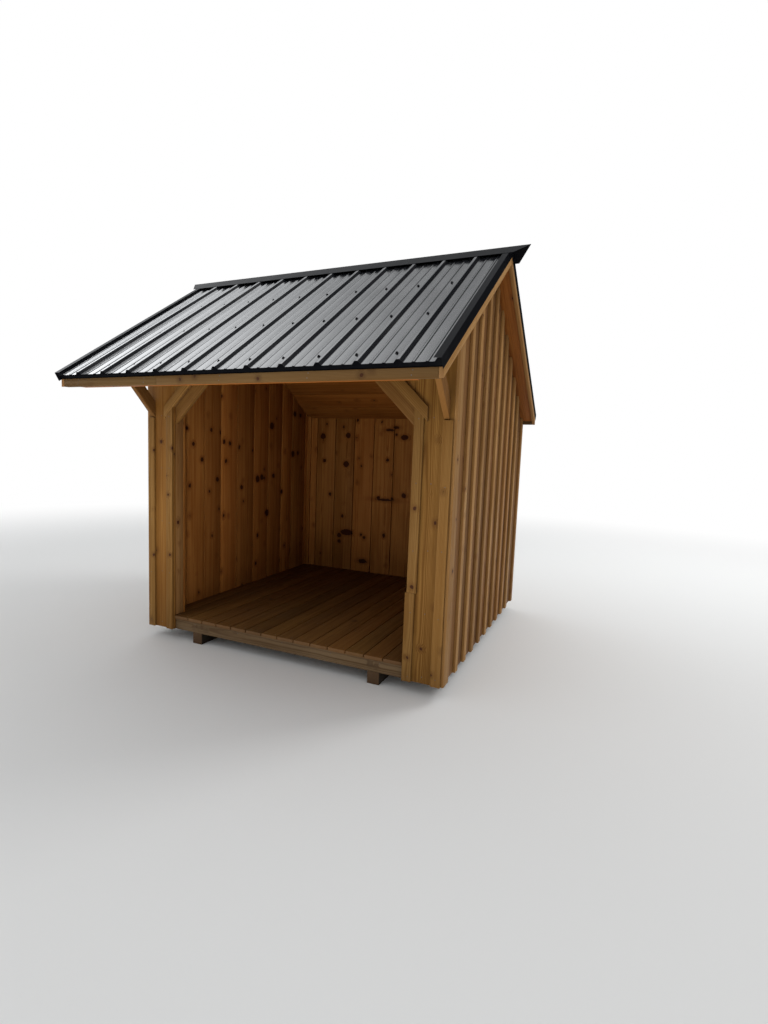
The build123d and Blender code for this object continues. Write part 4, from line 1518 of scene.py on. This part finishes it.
@dataclass
class Nailing:
    """Round nail heads, driven a hair below flush in rows."""

    finishes: Finishes
    head: float = 0.0036            # metres, radius
    length: float = 0.003           # metres
    proud: float = 0.0004           # metres
    rows: tuple[float, ...] = (5.2, 21.5, 38.0, 54.5, 71.0)     # heights on the walls
    high_row: float = 87.5          # on the gables only
    corner_nails: tuple[float, float] = (1.1, 3.4)              # behind the front face, in the wide corner boards
    gable_battens: int = 9
    top_in: float = 1.5             # from the soffit down to the highest head in a batten
    top_clear: float = 5.0          # least distance from there down to the next one
    stagger: float = 0.4            # how far the rows' heights change from batten to batten
    corner_in: float = 1.2          # corner batten's heads from the corner
    jamb_in: float = 1.4            # jamb batten's heads from the boards' edge
    board_in: float = 5.0           # the boards' own heads from the same edge
    back_battens: int = 4           # to each side of the middle one
    planks: int = 16
    plank_pair: tuple[float, float] = (-1.7, 1.6)               # from a plank's middle
    joists: int = 5                 # between the first and the last
    joist_pitch: float = 16.0
    joist_ends: tuple[float, float] = (0.7, 4.6)                # inside the frame's front and rear
    rim_nails: tuple[float, ...] = (-30.9, -14.6, 1.2, 17.1, 31.8)
    rim_down: float = 0.9           # from the deck's underside
    rafters: int = 2                # to each side of the middle one
    rafter_pitch: float = 23.625
    fascia_pair: tuple[tuple[float, float], ...] = ((0.64, 0.0), (1.68, 0.25))     # height, and step aside
    barge_nails: int = 5
    barge_reach: tuple[float, float, float] = (6.0, 66.0, 72.0)   # first head, last in front, last behind
    barge_depth: float = 2.55

    def build(self) -> None:
        """Drives every nail that shows."""
        heads = [*self.side_battens(), *self.front(), *self.back(), *self.floor(), *self.roof_edges()]
        places = [Matrix.Translation(Vector(place) * INCH) @ normal.to_track_quat("Z", "Y").to_matrix().to_4x4()
                  for place, normal in heads]
        seat(strew(self.nail(), places, "nail_heads"), self.finishes.zinc)

    def nail(self) -> bpy.types.Object:
        """Models one nail head on the origin, facing up.

        Returns:
            The head, to be copied.
        """
        clear_selection()
        bpy.ops.mesh.primitive_cylinder_add(vertices=10, radius=self.head, depth=self.length,
                                            location=(0, 0, self.proud - self.length / 2))
        ease_edges(bpy.context.object, 0.0004, 1)
        bpy.ops.object.transform_apply(location=True, rotation=True, scale=True)
        return bpy.context.object

    def side_battens(self) -> list[NailPlace]:
        """Heads in the battens of both gable walls.

        Returns:
            Their places.
        """
        face = D.side_face + SideWall.batten_thick
        heads = []
        middles = [D.front_face + y for y in self.corner_nails]
        middles += [D.front_face + SideWall.first_batten + SideWall.batten_pitch * k for k in range(self.gable_battens)]
        middles.append(D.rear_face - D.batten / 2)
        for k, y in enumerate(middles):
            top = D.roof_z(y, D.rake_soffit_low) - self.top_in
            step = self.stagger * ((k * 3) % 4 - 1.5)
            heights = [z + step for z in (*self.rows, self.high_row) if z < top - self.top_clear]
            for z in (*heights, top):
                heads += [((side * face, y + stray(0.3, k + round(z)), z), X * side) for side in (-1, 1)]
        return heads

    def front(self) -> list[NailPlace]:
        """Heads in the boards and battens of the front.

        Returns:
            Their places.
        """
        heads = []
        for z in self.rows:
            for x, out in ((D.side_face - self.corner_in, D.board), (D.strip_x + self.jamb_in, D.board),
                           (D.strip_x + self.board_in, 0.0)):
                height = z + stray(0.3, round(x + z))
                heads += [((side * x, D.front_face - out, height), -Y) for side in (-1, 1)]
        return heads

    def back(self) -> list[NailPlace]:
        """Heads in the battens of the back wall.

        Returns:
            Their places.
        """
        edge = D.side_face - D.batten / 2
        middles = (-edge, *(BackWall.batten_pitch * n for n in range(-self.back_battens, self.back_battens + 1)), edge)
        return [((x, D.rear_face + BackWall.batten_thick, z + stray(0.3, k + round(z))), Y)
                for k, x in enumerate(middles) for z in self.rows]

    def floor(self) -> list[NailPlace]:
        """Pairs of heads where the planks cross the joists, and a few in the front rim.

        Returns:
            Their places.
        """
        heads = []
        between = (D.frame_front + self.joist_pitch * n for n in range(1, self.joists + 1))
        joists = (D.frame_front + self.joist_ends[0], *between, D.frame_rear - self.joist_ends[1])
        for k in range(self.planks):
            x = Floor.first_joint + Floor.plank * (k + 0.5)
            for y in joists:
                heads += [((x + aside, y + stray(0.2, k + round(aside)), D.floor_z), Z) for aside in self.plank_pair]
        heads += [((x, D.frame_front, D.deck_z - self.rim_down), -Y) for x in self.rim_nails]
        return heads

    def roof_edges(self) -> list[NailPlace]:
        """Pairs of heads in the fascias and singles along the barge boards.

        Returns:
            Their places.
        """
        heads = []
        for k in range(-self.rafters, self.rafters + 1):
            for height, aside in self.fascia_pair:
                x = k * self.rafter_pitch + aside
                heads += [((x, D.fascia_y, D.fascia_z + height), -Y),
                          ((x, D.rear_fascia_y, D.rear_fascia_z + height), Y)]
        first, *lasts = self.barge_reach
        for side, last in zip((Side.FRONT, Side.REAR), lasts):
            for k in range(self.barge_nails):
                run = first + (last - first) * k / (self.barge_nails - 1)
                y, z = D.on_slope(run, self.barge_depth, side)
                heads += [((sign * D.barge_out, y, z), X * sign) for sign in (-1, 1)]
        return heads


@dataclass
class Studio:
    """Pale floor, soft light and the camera."""

    eye: Point = (2.1867, -4.3571, 1.6218)      # metres
    yaw: float = 0.458
    pitch: float = 0.110
    roll: float = 0.031
    focal: float = 572.02                       # pixels
    centre: tuple[float, float] = (339.79, 507.45)
    image: tuple[int, int] = (768, 1024)
    sky: float = 0.78
    mirrored: float = 3.0                       # brightest part of the sky that shiny paint mirrors
    bands: tuple[tuple[float, float], ...] = ((0.1, 0.6), (0.32, 2.0), (0.4, 1.35), (0.47, 0.82), (0.55, 0.44),
                                              (0.62, 0.22), (1.0, 0.12))
    dark_side: tuple[float, float, float] = (-0.2, 0.2, 0.1)   # in X: from where, to where, and the strength left
    floor_size: float = 60.0
    key_place: Point = (5.5, 6.0, 6.5)
    key_power: float = 285.0                    # watts
    bounce_place: Point = (0.0, -3.3, 0.02)     # light that pale ground throws up at the front
    bounce_power: float = 95.0
    lamp_size: float = 3.0

    def build(self) -> None:
        """Sets the floor, the lights and the camera."""
        self.floor()
        self.lights()
        self.camera()
        bpy.context.scene.view_settings.view_transform = "Standard"

    def floor(self) -> None:
        """Pale floor under the shed."""
        clear_selection()
        bpy.ops.mesh.primitive_plane_add(size=self.floor_size, location=(0, 0, 0))
        plane = bpy.context.object
        plane.name = "studio_floor"
        plane.data.materials.append(PaleFloor("studio_floor").material())

    def lights(self) -> None:
        """Even light from all round, with one soft lamp high behind the right gable."""
        bpy.context.scene.world = self.sky_light(Net(bpy.data.worlds.new("studio"), "OutputWorld"))
        self.lamp("key_lamp", self.key_place, (0.0, 0.0, 1.5), self.key_power)
        self.lamp("ground_bounce", self.bounce_place, (0.0, -3.3, 1.0), self.bounce_power)

    def sky_light(self, net: Net) -> bpy.types.World:
        """White backdrop for the camera, even light, and a banded sky for what mirrors it.

        Args:
            net: the world's nodes.

        Returns:
            The world.
        """
        direction = net.add("SeparateXYZ", None, i0=net.add("TexCoord").outputs["Generated"]).outputs
        ramp = net.add("ValToRGB", None, i0=direction["Y"])
        ramp.color_ramp.interpolation = "EASE"
        stops = ramp.color_ramp.elements
        while len(stops) < len(self.bands):
            stops.new(0.5)
        for stop, (place, value) in zip(stops, self.bands):
            stop.position, stop.color = place, (value, value, value, 1.0)
        low, high, least = self.dark_side
        wane = net.between(direction["X"], low, high, self.mirrored, least)
        strength = net.math("MULTIPLY", ramp.outputs[0], wane)
        even = net.add("Background", None, Color=rgba((0.97, 0.985, 1.0)), Strength=self.sky)
        banded = net.add("Background", None, Color=rgba((0.96, 0.98, 1.0)), Strength=strength)
        white = net.add("Background", None, Color=rgba((1.0, 1.0, 1.0)), Strength=1.0)
        path = net.add("LightPath").outputs
        lit = net.add("MixShader", None, i0=path["Is Glossy Ray"], i1=even.outputs[0], i2=banded.outputs[0])
        return net.surface(net.add("MixShader", None, i0=path["Is Camera Ray"], i1=lit.outputs[0], i2=white.outputs[0]))

    def lamp(self, name: str, place: Point, target: Point, power: float) -> None:
        """Adds a square area lamp that shiny surfaces don't mirror.

        Args:
            name: the lamp's name.
            place: where it hangs, in metres.
            target: the point that it faces.
            power: its power in watts.
        """
        data = bpy.data.lights.new(name, "AREA")
        data.size, data.energy = self.lamp_size, power
        lamp = bpy.data.objects.new(name, data)
        lamp.location = place
        lamp.rotation_euler = (Vector(target) - Vector(place)).to_track_quat("-Z", "Y").to_euler()
        lamp.visible_glossy = False
        lamp.visible_camera = False
        bpy.context.collection.objects.link(lamp)

    def camera(self) -> None:
        """Places the camera where it was solved from the shed's edges."""
        forward = Vector((-math.sin(self.yaw) * math.cos(self.pitch), math.cos(self.yaw) * math.cos(self.pitch),
                          -math.sin(self.pitch)))
        level = Vector((math.cos(self.yaw), math.sin(self.yaw), 0.0))
        upright = level.cross(forward)
        right = level * math.cos(self.roll) + upright * math.sin(self.roll)
        up = upright * math.cos(self.roll) - level * math.sin(self.roll)
        data = bpy.data.cameras.new("photo_angle")
        data.sensor_width = 36.0
        data.lens = self.focal * data.sensor_width / max(self.image)
        data.shift_x = (self.image[0] / 2 - self.centre[0]) / max(self.image)
        data.shift_y = (self.centre[1] - self.image[1] / 2) / max(self.image)
        camera = bpy.data.objects.new("photo_angle", data)
        camera.matrix_world = Matrix.Translation(Vector(self.eye)) @ Matrix((right, up, -forward)).transposed().to_4x4()
        bpy.context.collection.objects.link(camera)
        bpy.context.scene.camera = camera


def main() -> None:
    """Builds the shed piece by piece over its frame."""
    logging.basicConfig(level=logging.INFO, format="%(message)s")
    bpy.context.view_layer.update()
    finishes = Finishes.mix()
    Floor(finishes).build()
    for side in (Side.RIGHT, Side.LEFT):
        SideWall(finishes, side).build()
    BackWall(finishes).build()
    FrontWall(finishes).build()
    RoofWood(finishes).build()
    RoofMetal(finishes).build()
    Nailing(finishes).build()
    Studio().build()


if __name__ == "__main__":
    main()
